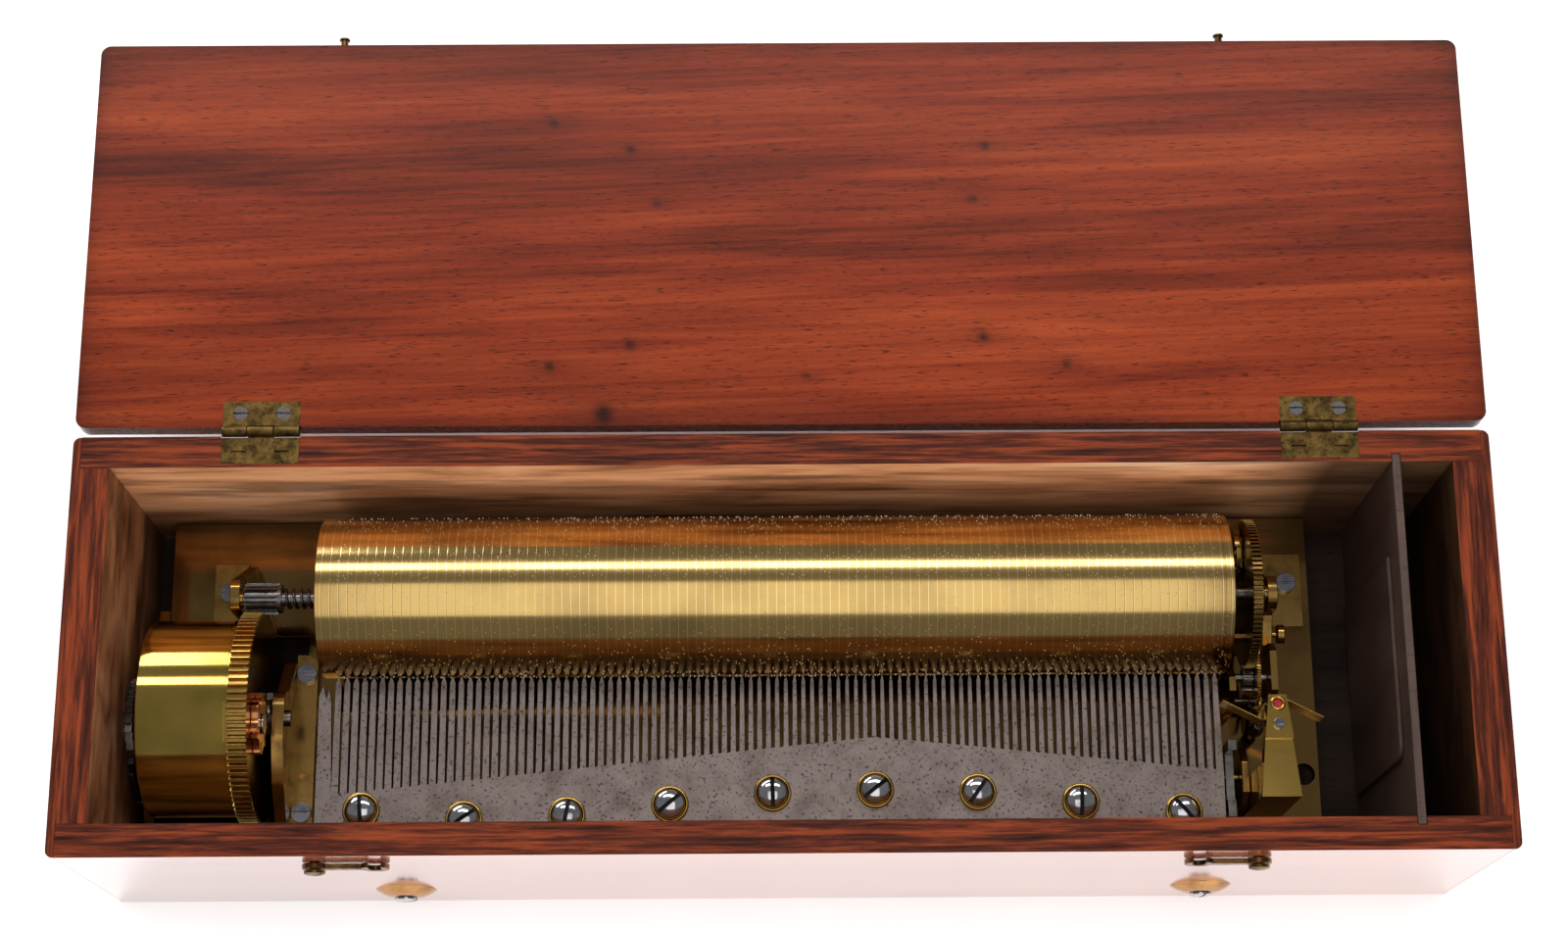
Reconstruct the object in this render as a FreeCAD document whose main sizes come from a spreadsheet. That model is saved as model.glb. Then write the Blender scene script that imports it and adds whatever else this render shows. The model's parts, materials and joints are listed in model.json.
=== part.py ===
import FreeCAD, Part
import Sketcher
import math
import os
import re
from types import SimpleNamespace

# A key-wound cylinder music box in a plain wooden case, its lid lying open behind it.
# +X is to the right, +Y to the back, +Z up; the origin is the centre of the case's bottom face.
# Millimetres throughout. A plain word in an expression is the alias of a cell in the sheet.

Vector = FreeCAD.Vector

SIZES = {
    # case
    "case_width": 410.0, "case_depth": 122.0, "case_height": 88.0,
    "end_wall": 11.2, "side_wall": 9.4, "bottom_board": 11.0, "lap_skin": 2.6, "wall_round": 2.2,
    "partition_left": 176.4, "partition_thick": 2.4, "groove_depth": 2.4, "groove_clearance": 0.15,
    "panel_thick": 1.2, "panel_drop": 11.0, "panel_front": -33.0, "panel_back": 26.0,
    "panel_foot": 3.0, "panel_round": 5.0,
    "key_hole_radius": 6.5,
    # lid
    "lid_short": 1.0, "lid_thick": 9.0, "lid_inset": 0.3, "lid_corner": 3.0, "lid_edge_round": 2.6,
    "lid_gap": 0.2,
    # hinges
    "hinge_offset": 1.4, "hinge_left": -150.8, "hinge_right": 155.8, "hinge_width": 22.4,
    "knuckle_radius": 1.6, "hinge_pin_radius": 0.8, "knuckle_gap": 0.3, "case_leaf_reach": 9.7,
    "lid_leaf_reach": 9.1, "leaf_thick": 1.4, "leaf_screw_pitch": 12.4, "leaf_screw_inset": 3.6,
    "leaf_head_radius": 2.1, "leaf_head_sink": 0.9, "leaf_shank_radius": 0.9, "leaf_shank_depth": 6.0,
    # side hooks and the lid's studs
    "stud_left": -132.0, "stud_right": 133.6, "stud_drop": 4.0, "stud_radius": 1.1,
    "stud_length": 3.8, "stud_head_radius": 1.6, "stud_head": 0.7, "stud_root": 4.0,
    "hook_reach": 17.0, "hook_thick": 1.5, "hook_gap": 0.3, "hook_eye": 3.6, "hook_arm": 3.2,
    "hook_ring": 4.0, "hook_throat": 1.8, "hook_screw_head": 3.0, "hook_screw_dome": 1.4,
    "hook_screw_radius": 1.6, "hook_screw_depth": 7.0,
    # bolts that hang the movement in the case
    "bolt_left": -112.9, "bolt_right": 124.7, "bolt_drop": 2.5, "bolt_radius": 2.2,
    "bolt_head": 3.4, "bolt_dome": 1.0, "bolt_bite": 4.5, "cup_radius": 9.1, "cup_rise": 2.6,
    "cup_sheet": 1.0,
    # bedplate
    "bed_top": 30.0, "bed_thick": 4.5, "bed_left": -186.5, "bed_right": 161.0, "bed_gap": 0.8,
    "bed_rib": 7.0, "bed_rib_drop": 7.0, "bed_hole_across": 156.5, "bed_hole_along": -29.0,
    "bed_hole_radius": 3.3, "notch_right": -144.0, "notch_clearance": 1.3,
    # cylinder and its arbor
    "arbor_back": 20.2, "arbor_height": 57.0, "cylinder_left": -134.9, "cylinder_length": 265.5,
    "cylinder_radius": 23.5, "cylinder_shell": 1.2, "cap_thick": 2.5, "cap_hub": 3.6,
    "cap_hub_length": 3.1, "arbor_radius": 2.2, "journal_radius": 1.6, "fit": 0.05,
    "shift_travel": 2.15, "tunes": 6,
    "collar_radius": 4.2, "collar_thick": 1.1, "spring_wire": 0.4, "spring_turns": 4,
    "spring_play": 0.2,
    "pinion_module": 0.68, "pinion_leaves": 12, "pinion_step": 0.2, "pinion_length": 9.7,
    "train_module": 0.48, "train_teeth": 90, "train_left": 136.1, "train_thick": 2.8,
    "train_hub": 4.5, "train_hub_end": 141.5, "guide_offset": 13.0, "guide_radius": 1.2,
    "guide_reach": 9.5,
    # bearings of the cylinder's arbor
    "post_thick": 3.0, "left_post": -162.7, "right_post": 143.0, "foot_thick": 3.2,
    "bush_radius": 2.6, "bush_boss": 0.4, "left_foot_reach": 10.3, "right_foot_reach": 12.5,
    "foot_front": 15.8, "foot_back": 38.8,
    # snail and star wheel of the tune change
    "snail_offset": 12.5, "snail_stud": 1.5, "snail_stud_reach": 3.9, "snail_radius": 7.4,
    "star_tip": 8.6, "star_valley": 6.2, "star_gap": 0.3, "star_plate": 0.8, "snail_floor": 0.5,
    "follower_offset": 7.5, "follower_radius": 0.8, "follower_gap": 0.35,
    "finger_back": 11.0, "finger_height": 43.0, "finger_radius": 0.9, "finger_left": 139.7,
    "finger_right": 148.2, "button_radius": 3.0, "button_thick": 2.2,
    # spring barrel and winding work
    "barrel_height": 46.5, "wheel_teeth": 92, "barrel_left": -185.5, "wheel_left": -158.8,
    "wheel_thick": 5.6, "drum_step": 2.3, "drum_shell": 1.2, "cover_thick": 1.8,
    "post_clearance": 0.6, "core_radius": 5.5, "cover_journal": 4.0, "wheel_journal": 3.5, "end_journal": 2.5,
    "square_side": 4.6, "square_end": -196.2, "square_start": -192.5,
    "stop_gap": 0.2, "stop_thick": 2.0, "stop_disc": 5.8, "stop_nose": 7.5, "nose_width": 2.2,
    "maltese_offset": 16.8, "maltese_radius": 8.85, "maltese_lean": 16.8, "maltese_arms": 6,
    "maltese_scallop": 4.4, "maltese_bore": 1.8, "maltese_head": 3.0, "maltese_head_thick": 0.5,
    "maltese_play": 0.15,
    "mainspring_strip": 0.5, "mainspring_turns": 9, "mainspring_play": 0.8, "mainspring_steps": 24,
    "ratchet_radius": 12.0, "ratchet_tooth": 1.6, "ratchet_teeth": 24, "ratchet_thick": 2.2,
    "ratchet_gap": 0.6, "bridge_thick": 3.0, "bridge_head": 8.5, "bridge_gap": 0.1,
    "bridge_shoulder": 13.0, "click_angle": 200.0, "click_lean": 35.0, "click_width": 2.2,
    "click_gap": 0.3, "click_pivot": 1.4, "click_eye": 3.0, "click_lift": 4.0,
    "click_spring_thick": 0.6,
    "cock_clearance": 0.3, "cock_thick": 3.4, "cock_foot": 6.2, "cock_front": -45.6,
    "cock_back": 8.6, "cock_head": 7.0, "cock_hole": 1.4,
    # comb
    "comb_left": -136.0, "comb_right": 128.2, "comb_front": -48.2, "comb_top": 56.0,
    "comb_thick": 2.2, "comb_blank": 4.3, "comb_teeth": 101, "comb_tip_gap": 0.35,
    "comb_peak": 26.8, "comb_peak_root": -22.0, "comb_root_slope": 0.102,
    "tooth_point": 1.6, "tooth_narrow": 0.95, "tooth_wide": 1.7, "tooth_taper": 0.35,
    "comb_screw_head": 3.85, "comb_screw_dome": 2.8, "comb_screw_radius": 1.8,
    "comb_screw_depth": 12.0, "comb_washer": 5.45, "comb_washer_thick": 1.4, "comb_screws": 9,
    "shelf_left": -36.0, "shelf_top": 45.0, "shelf_back": -10.0, "leaded_teeth": 36,
    "lead_width": 1.5, "lead_back": 1.6, "lead_length": 6.5, "lead_deep": 8.0, "lead_shallow": 2.5,
    # governor
    "first_lean": 17.0, "first_leaves": 14, "fine_module": 0.3, "first_teeth": 60,
    "second_leaves": 10, "second_back": -8.6, "worm_teeth": 30, "worm_module": 0.4,
    "worm_starts": 2, "worm_rise": 0.2, "worm_gap": 0.12, "worm_radius": 2.0, "worm_length": 12.0,
    "worm_pitch": 1.26, "worm_groove": 0.5, "worm_across": 141.4,
    "frame_left": 131.2, "frame_right": 143.4, "frame_thick": 2.0, "frame_front": -13.8,
    "left_frame_back": -1.8, "right_frame_back": 5.8, "left_frame_top": 56.0,
    "right_frame_top": 57.0, "train_pivot": 0.8, "train_arbor": 1.3, "second_pivot": 0.6,
    "second_arbor": 0.9, "first_wheel_left": 139.2, "first_wheel_thick": 1.1,
    "worm_wheel_left": 140.7, "worm_wheel_thick": 1.4,
    "fly_shaft": 0.9, "fly_pivot": 0.45, "fly_low": 61.5, "fly_tall": 7.0, "fly_hub": 2.2,
    "fly_reach": 14.0, "fly_offset": 4.3, "fly_sheet": 0.3, "fly_arm": 2.0, "fly_turn": -27.0,
    "governor_front": -43.6, "governor_column": 9.4, "governor_top": 75.0, "governor_arm": 4.5,
    "governor_tip": -14.4, "governor_wide": 5.7, "governor_narrow": 2.6, "cap_plate": 1.2,
    "cap_front": -27.0, "cap_wide": 4.1, "endstone_radius": 1.2, "endstone_thick": 1.0,
    "cap_screw_along": -22.9, "cap_screw_head": 1.6, "cap_screw_rise": 1.0,
    "cap_screw_radius": 0.8,
    # stop work at the governor
    "bracket_left": 133.4, "bracket_thick": 2.2, "bracket_front": -43.0, "bracket_back": -25.0,
    "bracket_top": 56.5, "lever_left": 129.4, "lever_thick": 2.4, "lever_pivot_back": -33.4,
    "lever_pivot_height": 49.0, "lever_pivot_radius": 1.0, "lever_front": -45.6,
    "lever_back": -24.0, "lever_half": 2.6, "lever_rise": 9.6, "lever_tail": 3.0,
    # the frame's screws
    "screw_head": 3.0, "screw_head_thick": 1.8, "screw_shank": 1.5, "screw_depth": 6.5,
    "slot_width": 0.7, "slot_depth": 0.6,
}

size = SimpleNamespace(**SIZES)

# Places worked out from the driving sizes.
size.half_width = size.case_width / 2
size.half_depth = size.case_depth / 2
size.inner_side = size.half_width - size.end_wall
size.inner_front = size.half_depth - size.side_wall
size.hinge_back = size.half_depth + size.hinge_offset
size.hinge_height = size.case_height + size.lid_gap / 2
size.lid_depth = size.case_depth - size.lid_short
size.lid_near = size.hinge_back + size.hinge_offset
size.lid_far = size.lid_near + size.lid_depth
size.lid_under = size.case_height - size.lid_thick
size.stud_height = size.case_height - size.stud_drop
size.hook_height = 2 * size.hinge_height - size.stud_height - size.hook_reach
size.bed_under = size.bed_top - size.bed_thick
size.bed_edge = size.inner_front - size.bed_gap
size.bolt_height = size.bed_under - size.bolt_drop
size.wheel_pitch = size.wheel_teeth * size.pinion_module / 2
size.pinion_pitch = size.pinion_leaves * size.pinion_module / 2
size.barrel_drop = size.arbor_height - size.barrel_height
size.barrel_back = size.arbor_back - math.sqrt(
    (size.wheel_pitch + size.pinion_pitch) ** 2 - size.barrel_drop ** 2)
size.wheel_tip = size.wheel_pitch + size.pinion_module
size.drum_radius = size.wheel_pitch - size.drum_step
size.left_post_front = max(size.arbor_back - 4, size.barrel_back + size.drum_radius + size.post_clearance)
size.pinion_left = size.wheel_left + size.pinion_step
size.notch_half = size.notch_clearance + math.sqrt(
    size.wheel_tip ** 2 - (size.barrel_height - size.bed_top) ** 2)
size.notch_front = size.barrel_back - size.notch_half
size.notch_back = size.barrel_back + size.notch_half
size.cylinder_right = size.cylinder_left + size.cylinder_length
size.train_right = size.train_left + size.train_thick
size.train_pitch = size.train_teeth * size.train_module / 2
size.bush_bore = size.journal_radius + size.fit
size.wheel_right = size.wheel_left + size.wheel_thick
size.stop_left = size.wheel_right + size.stop_gap
size.stop_right = size.stop_left + size.stop_thick
size.maltese_back = size.barrel_back - size.maltese_offset * math.sin(math.radians(size.maltese_lean))
size.maltese_height = size.barrel_height + size.maltese_offset * math.cos(math.radians(size.maltese_lean))
size.bridge_right = size.bed_left - size.bridge_gap
size.bridge_left = size.bridge_right - size.bridge_thick
size.ratchet_right = size.bridge_left - size.ratchet_gap
size.ratchet_left = size.ratchet_right - size.ratchet_thick
size.star_screw_end = size.stop_right + size.maltese_play + size.maltese_head_thick
size.cock_left = size.star_screw_end + size.cock_clearance
size.cock_right = size.cock_left + size.cock_thick
size.foot_top = size.bed_top + size.foot_thick
size.star_right = size.train_left - size.star_gap
size.star_left = size.star_right - size.star_plate
size.snail_low = size.star_left - size.snail_floor
size.snail_step = size.shift_travel / (size.tunes - 1)
size.snail_back = size.arbor_back + size.snail_offset
size.comb_under = size.comb_top - size.comb_thick
size.comb_tip = size.arbor_back - size.comb_tip_gap - math.sqrt(
    size.cylinder_radius ** 2 - (size.arbor_height - size.comb_top) ** 2)
size.tooth_pitch = (size.comb_right - size.comb_left - size.comb_blank) / size.comb_teeth
size.first_pitch = size.first_leaves * size.train_module / 2
size.first_back = size.arbor_back - (size.train_pitch + size.first_pitch) * math.cos(
    math.radians(size.first_lean))
size.first_height = size.arbor_height - (size.train_pitch + size.first_pitch) * math.sin(
    math.radians(size.first_lean))
size.second_reach = (size.first_teeth + size.second_leaves) * size.fine_module / 2
size.second_height = size.first_height - math.sqrt(
    size.second_reach ** 2 - (size.first_back - size.second_back) ** 2)
size.worm_wheel_pitch = size.worm_teeth * size.worm_module / 2
size.worm_back = (size.second_back - size.worm_wheel_pitch - size.worm_rise
                  - size.worm_gap - size.worm_radius)
size.frame_left_end = size.frame_left + size.frame_thick
size.frame_right_end = size.frame_right + size.frame_thick
size.fly_high = size.fly_low + size.fly_tall
size.governor_back = size.governor_front + size.governor_column

doc = FreeCAD.newDocument("MusicBox")
sheet = doc.addObject("Spreadsheet::Sheet", "Dims")
for row, (word, number) in enumerate(vars(size).items(), 1):
    sheet.set("A%d" % row, word)
    sheet.set("B%d" % row, "%.9g" % number)
    sheet.setAlias("B%d" % row, word)
doc.recompute()

NODES = []
SIDES = {"x": ("y", "z"), "y": ("x", "z"), "z": ("x", "y")}
TURNS = {
    "x": FreeCAD.Rotation(Vector(0, 1, 0), 90),
    "y": FreeCAD.Rotation(Vector(1, 0, 0), -90),
    "z": FreeCAD.Rotation(),
}


def cells(text):
    """Turn the plain words of an expression into the sheet's cells."""
    return re.sub(r"[a-z][a-z_]*[a-z]", lambda found: (
        "Dims." + found[0] if hasattr(size, found[0]) else found[0]), text)


def bind(thing, name, text):
    thing.setExpression(name, cells(text))


def block(label, low, high):
    """A box between two corners, each given as three expressions."""
    box = doc.addObject("Part::Box", label)
    for axis, side, start, end in zip("xyz", ("Length", "Width", "Height"), low, high):
        bind(box, "Placement.Base." + axis, start)
        bind(box, side, "(%s) - (%s)" % (end, start))
    return box


def rod(label, along, centre, radius, start, end):
    """A round bar along one axis; centre holds its other two places, in X, Y, Z order."""
    bar = doc.addObject("Part::Cylinder", label)
    bar.Placement = FreeCAD.Placement(Vector(0, 0, 0), TURNS[along])
    for axis, place in zip(SIDES[along], centre):
        bind(bar, "Placement.Base." + axis, place)
    bind(bar, "Placement.Base." + along, start)
    bind(bar, "Radius", radius)
    bind(bar, "Height", "(%s) - (%s)" % (end, start))
    return bar


def joined(label, pieces):
    whole = doc.addObject("Part::MultiFuse", label)
    whole.Shapes = pieces
    return whole


def group(label, pieces):
    whole = doc.addObject("Part::Compound", label)
    whole.Links = pieces
    return whole


def cut(label, base, tools):
    rest = doc.addObject("Part::Cut", label)
    rest.Base = base
    rest.Tool = tools[0] if len(tools) == 1 else group(label + "_tools", tools)
    return rest


def solid(label, shape, spot=("0", "0", "0")):
    """A computed shape, modelled about its own origin and placed at three expressions."""
    thing = doc.addObject("Part::Feature", label)
    thing.Shape = shape
    for axis, place in zip("xyz", spot):
        bind(thing, "Placement.Base." + axis, place)
    return thing


def node(label, thing):
    """Mark an object as one of the real pieces: its label names its file."""
    thing.Label = label
    NODES.append(thing)
    return thing


def plate(label, plane, outline, low, high, rounds=(), radius="wall_round"):
    """A PartDesign body: a closed outline of corner expressions, padded between two planes."""
    body = doc.addObject("PartDesign::Body", label)
    sketch = body.newObject("Sketcher::SketchObject", label + "_outline")
    origin = [item for item in body.Origin.OriginFeatures if item.Role == plane + "_Plane"][0]
    sketch.AttachmentSupport = [(origin, "")]
    sketch.MapMode = "FlatFace"
    count = len(outline)
    ring = [Vector(40 * math.cos(2 * math.pi * k / count), 40 * math.sin(2 * math.pi * k / count), 0)
            for k in range(count)]
    for k in range(count):
        sketch.addGeometry(Part.LineSegment(ring[k], ring[(k + 1) % count]), False)
    for k in range(count):
        sketch.addConstraint(Sketcher.Constraint("Coincident", k, 2, (k + 1) % count, 1))
    for k, corner in enumerate(outline):
        for kind, start, text in zip(("DistanceX", "DistanceY"), ring[k], corner):
            index = sketch.addConstraint(Sketcher.Constraint(kind, -1, 1, k, 1, start))
            bind(sketch, "Constraints[%d]" % index, text)
    bind(sketch, "AttachmentOffset.Base.z", low)
    pad = body.newObject("PartDesign::Pad", label + "_pad")
    pad.Profile = sketch
    bind(pad, "Length", "(%s) - (%s)" % (high, low))
    body.Tip = pad
    if rounds:
        doc.recompute()
        corners = [sketch.Placement.multVec(sketch.Geometry[k].StartPoint) for k in rounds]
        normal = sketch.Placement.Rotation.multVec(Vector(0, 0, 1))
        names = []
        for number, edge in enumerate(pad.Shape.Edges, 1):
            ends = [vertex.Point for vertex in edge.Vertexes]
            if len(ends) == 2 and (ends[1] - ends[0]).cross(normal).Length < 1e-6:
                if any((ends[0] - corner).cross(normal).Length < 1e-4 for corner in corners):
                    names.append("Edge%d" % number)
        fillet = body.newObject("PartDesign::Fillet", label + "_rounds")
        fillet.Base = (pad, names)
        bind(fillet, "Radius", radius)
        body.Tip = fillet
    return body


def toothed(label, left, spot, width, teeth, module, bore, turn, rise=0.95, drop=1.15):
    """A spur wheel about an axis along X; turn is the angle from +Y of one tooth's middle."""
    pitch = teeth * module / 2
    step = 2 * math.pi / teeth
    points = []
    for tooth in range(int(teeth)):
        middle = math.radians(turn) + tooth * step
        for share, radius in ((-0.27, pitch - drop * module), (-0.11, pitch + rise * module),
                              (0.11, pitch + rise * module), (0.27, pitch - drop * module)):
            angle = middle + share * step
            points.append(Vector(0, radius * math.cos(angle), radius * math.sin(angle)))
    blank = Part.Face(Part.makePolygon(points + points[:1])).extrude(Vector(width, 0, 0))
    hole = Part.makeCylinder(bore, width + 2, Vector(-1, 0, 0), Vector(1, 0, 0))
    return solid(label, blank.cut(hole), (left,) + spot)


def lathe_shape(along, profile):
    """Turn a closed profile of (place along the axis, radius) points about an axis."""
    axis = {"x": Vector(1, 0, 0), "y": Vector(0, 1, 0), "z": Vector(0, 0, 1)}[along]
    side = Vector(0, 0, 1) if along != "z" else Vector(1, 0, 0)
    points = [axis * place + side * radius for place, radius in profile]
    return Part.Face(Part.makePolygon(points + points[:1])).revolve(Vector(0, 0, 0), axis, 360)


def slots(label, places, along, top, radius):
    """The screwdriver slots of a row of screws whose heads face along an axis."""
    run = {"x": "y", "y": "x", "z": "x"}[along]
    cutters = []
    for index, spot in enumerate(places):
        centre = dict(zip(SIDES[along], spot))
        centre[along] = top
        half = dict.fromkeys("xyz", "slot_width / 2")
        half[along] = "slot_depth"
        half[run] = radius
        low = ["(%s) - (%s)" % (centre[axis], half[axis]) for axis in "xyz"]
        high = ["(%s) + (%s)" % (centre[axis], half[axis]) for axis in "xyz"]
        cutters.append(block("%s_slot%d" % (label, index), low, high))
    return cutters


FRONT_BACK = (("front", "-"), ("back", ""))
BOLTS = (("left", "bolt_left"), ("right", "bolt_right"))
HOOKS = (("left", "stud_left", ""), ("right", "stud_right", "-"))
HINGES = (("left", "hinge_left"), ("right", "hinge_right"))

# ---- fasteners first, because they carve their own holes in what they hold -----------------------

bolt_blanks = []
bolt_slots = []
cups = []
for side, sign in FRONT_BACK:
    face = "%shalf_depth" % sign
    head = "%s(half_depth + cup_rise)" % sign
    crown = "%s(half_depth + cup_rise + bolt_dome)" % sign
    tip = "%s(bed_edge - bolt_bite)" % sign
    for hand, across in BOLTS:
        name = "bolt_%s_%s" % (side, hand)
        spot = (across, "bolt_height")
        low, high = (head, tip) if side == "front" else (tip, head)
        bolt_blanks.append(rod(name + "_shank", "y", spot, "bolt_radius", low, high))
        low, high = (crown, head) if side == "front" else (head, crown)
        bolt_blanks.append(rod(name + "_head", "y", spot, "bolt_head", low, high))
    bolt_slots += slots("bolt_" + side, [(across, "bolt_height") for _, across in BOLTS], "y", crown,
                        "bolt_head")
    out = -1 if side == "front" else 1
    for hand, across in BOLTS:
        rim = size.cup_radius
        inner = size.bolt_radius + size.fit
        profile = [(0, inner), (out * (size.cup_rise - 0.4), inner), (out * size.cup_rise, inner + 0.6),
                   (out * (size.cup_rise * 0.9), rim * 0.45), (out * (size.cup_rise * 0.62), rim * 0.75),
                   (out * 0.35, rim), (0, rim)]
        cups.append(solid("cup_%s_%s" % (side, hand), lathe_shape("y", profile),
                          (across, face, "bolt_height")))
bolt_body = joined("bolt_blanks", bolt_blanks)
node("fixing_bolts", cut("fixing_bolts_cut", bolt_body, bolt_slots))
node("fixing_washers", group("fixing_washers_group", cups))

hook_blanks = []
for hand, across, _ in HOOKS:
    under = "-(half_depth + 2 * hook_gap + hook_thick)"
    hook_blanks.append(rod("hook_screw_shank_" + hand, "y", (across, "hook_height"), "hook_screw_radius",
                           under, "-(half_depth - hook_screw_depth)"))
    hook_blanks.append(rod("hook_screw_head_" + hand, "y", (across, "hook_height"), "hook_screw_head",
                           under + " - hook_screw_dome", under))
hook_screw_body = joined("hook_screw_blanks", hook_blanks)
hook_slots = slots("hook_screw", [(across, "hook_height") for _, across, _ in HOOKS], "y",
                   "-(half_depth + 2 * hook_gap + hook_thick) - hook_screw_dome", "hook_screw_head")
node("hook_screws", cut("hook_screws_cut", hook_screw_body, hook_slots))


def leaf_screws(label, reach_sign, reach):
    """The countersunk screws of both hinges on one side of the pin."""
    blanks = []
    spots = []
    along = "hinge_back %s (%s - leaf_screw_inset)" % (reach_sign, reach)
    for hand, middle in HINGES:
        for turn, sign in (("a", "-"), ("b", "+")):
            across = "%s %s leaf_screw_pitch / 2" % (middle, sign)
            spots.append((across, along))
            name = "%s_%s_%s" % (label, hand, turn)
            blanks.append(rod(name + "_head", "z", (across, along), "leaf_head_radius",
                              "case_height - leaf_head_sink", "case_height"))
            blanks.append(rod(name + "_shank", "z", (across, along), "leaf_shank_radius",
                              "case_height - leaf_shank_depth", "case_height - leaf_head_sink"))
    body = joined(label + "_blanks", blanks)
    cutters = slots(label, spots, "z", "case_height", "leaf_head_radius")
    node(label, cut(label + "_cut", body, cutters))
    return body


case_leaf_screws = leaf_screws("hinge_screws_case", "-", "case_leaf_reach")
lid_leaf_screws = leaf_screws("hinge_screws_lid", "+", "lid_leaf_reach")

# ---- case ---------------------------------------------------------------------------------------

node("case_bottom", block("case_bottom_board", ("-inner_side", "-inner_front", "0"),
                          ("inner_side", "inner_front", "bottom_board")))

for hand, sign in (("left", "-"), ("right", "")):
    outline = [("%shalf_width" % sign, "-half_depth"), ("%s(half_width - lap_skin)" % sign, "-half_depth"),
               ("%s(half_width - lap_skin)" % sign, "-inner_front"), ("%sinner_side" % sign, "-inner_front"),
               ("%sinner_side" % sign, "inner_front"), ("%s(half_width - lap_skin)" % sign, "inner_front"),
               ("%s(half_width - lap_skin)" % sign, "half_depth"), ("%shalf_width" % sign, "half_depth")]
    wall = plate("end_board_" + hand, "XY", outline, "0", "case_height", (0, 7))
    if hand == "left":
        key_hole = rod("key_hole", "x", ("barrel_back", "barrel_height"), "key_hole_radius",
                       "-half_width - 1", "-inner_side + 1")
        wall = cut("case_left_cut", wall, [key_hole])
    node("case_" + hand, wall)

for side, sign in FRONT_BACK:
    low, high = ("-half_depth", "-inner_front") if side == "front" else ("inner_front", "half_depth")
    board = block("board_" + side, ("-(half_width - lap_skin)", low, "0"),
                  ("half_width - lap_skin", high, "case_height"))
    groove_low = "-(inner_front + groove_depth)" if side == "front" else "inner_front - 1"
    groove_high = "-(inner_front - 1)" if side == "front" else "inner_front + groove_depth"
    groove = block("groove_" + side, ("partition_left - groove_clearance", groove_low, "bottom_board"),
                   ("partition_left + partition_thick + groove_clearance", groove_high, "case_height + 1"))
    tools = [groove, bolt_body]
    if side == "front":
        tools.append(hook_screw_body)
    else:
        for hand, middle in HINGES:
            tools.append(block("leaf_bed_" + hand,
                               (middle + " - hinge_width / 2", "hinge_back - case_leaf_reach",
                                "case_height - leaf_thick"),
                               (middle + " + hinge_width / 2", "half_depth + 1", "case_height + 1")))
            tools.append(rod("knuckle_bed_" + hand, "x", ("hinge_back", "hinge_height"),
                             "knuckle_radius + knuckle_gap", middle + " - hinge_width / 2 - knuckle_gap",
                             middle + " + hinge_width / 2 + knuckle_gap"))
        tools.append(case_leaf_screws)
    wall = board
    for index, tool in enumerate(tools):
        wall = cut("case_%s_cut%d" % (side, index), wall, [tool])
    node("case_" + side, wall)

node("partition", block("partition_board",
                        ("partition_left", "-(inner_front + groove_depth - groove_clearance)",
                         "bottom_board"),
                        ("partition_left + partition_thick",
                         "inner_front + groove_depth - groove_clearance", "case_height")))
node("partition_panel", plate("panel_board", "YZ", [
    ("panel_front", "bottom_board + panel_foot"), ("panel_back", "bottom_board + panel_foot"),
    ("panel_back", "case_height - panel_drop"), ("panel_front", "case_height - panel_drop")],
    "partition_left - panel_thick", "partition_left", (3,), "panel_round"))

# ---- lid, hinges and hooks ----------------------------------------------------------------------

lid_body = plate("lid_board", "XY", [
    ("-(half_width - lid_inset)", "lid_near"), ("half_width - lid_inset", "lid_near"),
    ("half_width - lid_inset", "lid_far"), ("-(half_width - lid_inset)", "lid_far")],
    "lid_under", "case_height", (0, 1, 2, 3), "lid_corner")
doc.recompute()
under_edges = ["Edge%d" % number for number, edge in enumerate(lid_body.Shape.Edges, 1)
               if all(abs(vertex.Z - size.lid_under) < 1e-6 for vertex in edge.Vertexes)]
lid_board = lid_body.Tip
lid_round = lid_body.newObject("PartDesign::Fillet", "lid_under_round")
lid_round.Base = (lid_board, under_edges)
bind(lid_round, "Radius", "lid_edge_round")
lid_body.Tip = lid_round

lid_tools = []
studs = []
for hand, across, _ in HOOKS:
    studs.append(rod("stud_stem_" + hand, "y", (across, "stud_height"), "stud_radius",
                     "lid_far - stud_root", "lid_far + stud_length"))
    studs.append(rod("stud_knob_" + hand, "y", (across, "stud_height"), "stud_head_radius",
                     "lid_far + stud_length - stud_head", "lid_far + stud_length"))
stud_body = joined("stud_solids", studs)
node("lid_studs", stud_body)
for hand, middle in HINGES:
    lid_tools.append(block("lid_leaf_bed_" + hand,
                           (middle + " - hinge_width / 2", "lid_near - 1", "case_height - leaf_thick"),
                           (middle + " + hinge_width / 2", "hinge_back + lid_leaf_reach",
                            "case_height + 1")))
    lid_tools.append(rod("lid_knuckle_bed_" + hand, "x", ("hinge_back", "hinge_height"),
                         "knuckle_radius + knuckle_gap", middle + " - hinge_width / 2 - knuckle_gap",
                         middle + " + hinge_width / 2 + knuckle_gap"))
lid = lid_body
for index, tool in enumerate(lid_tools + [lid_leaf_screws, stud_body]):
    lid = cut("lid_cut%d" % index, lid, [tool])
node("lid", lid)


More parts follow.
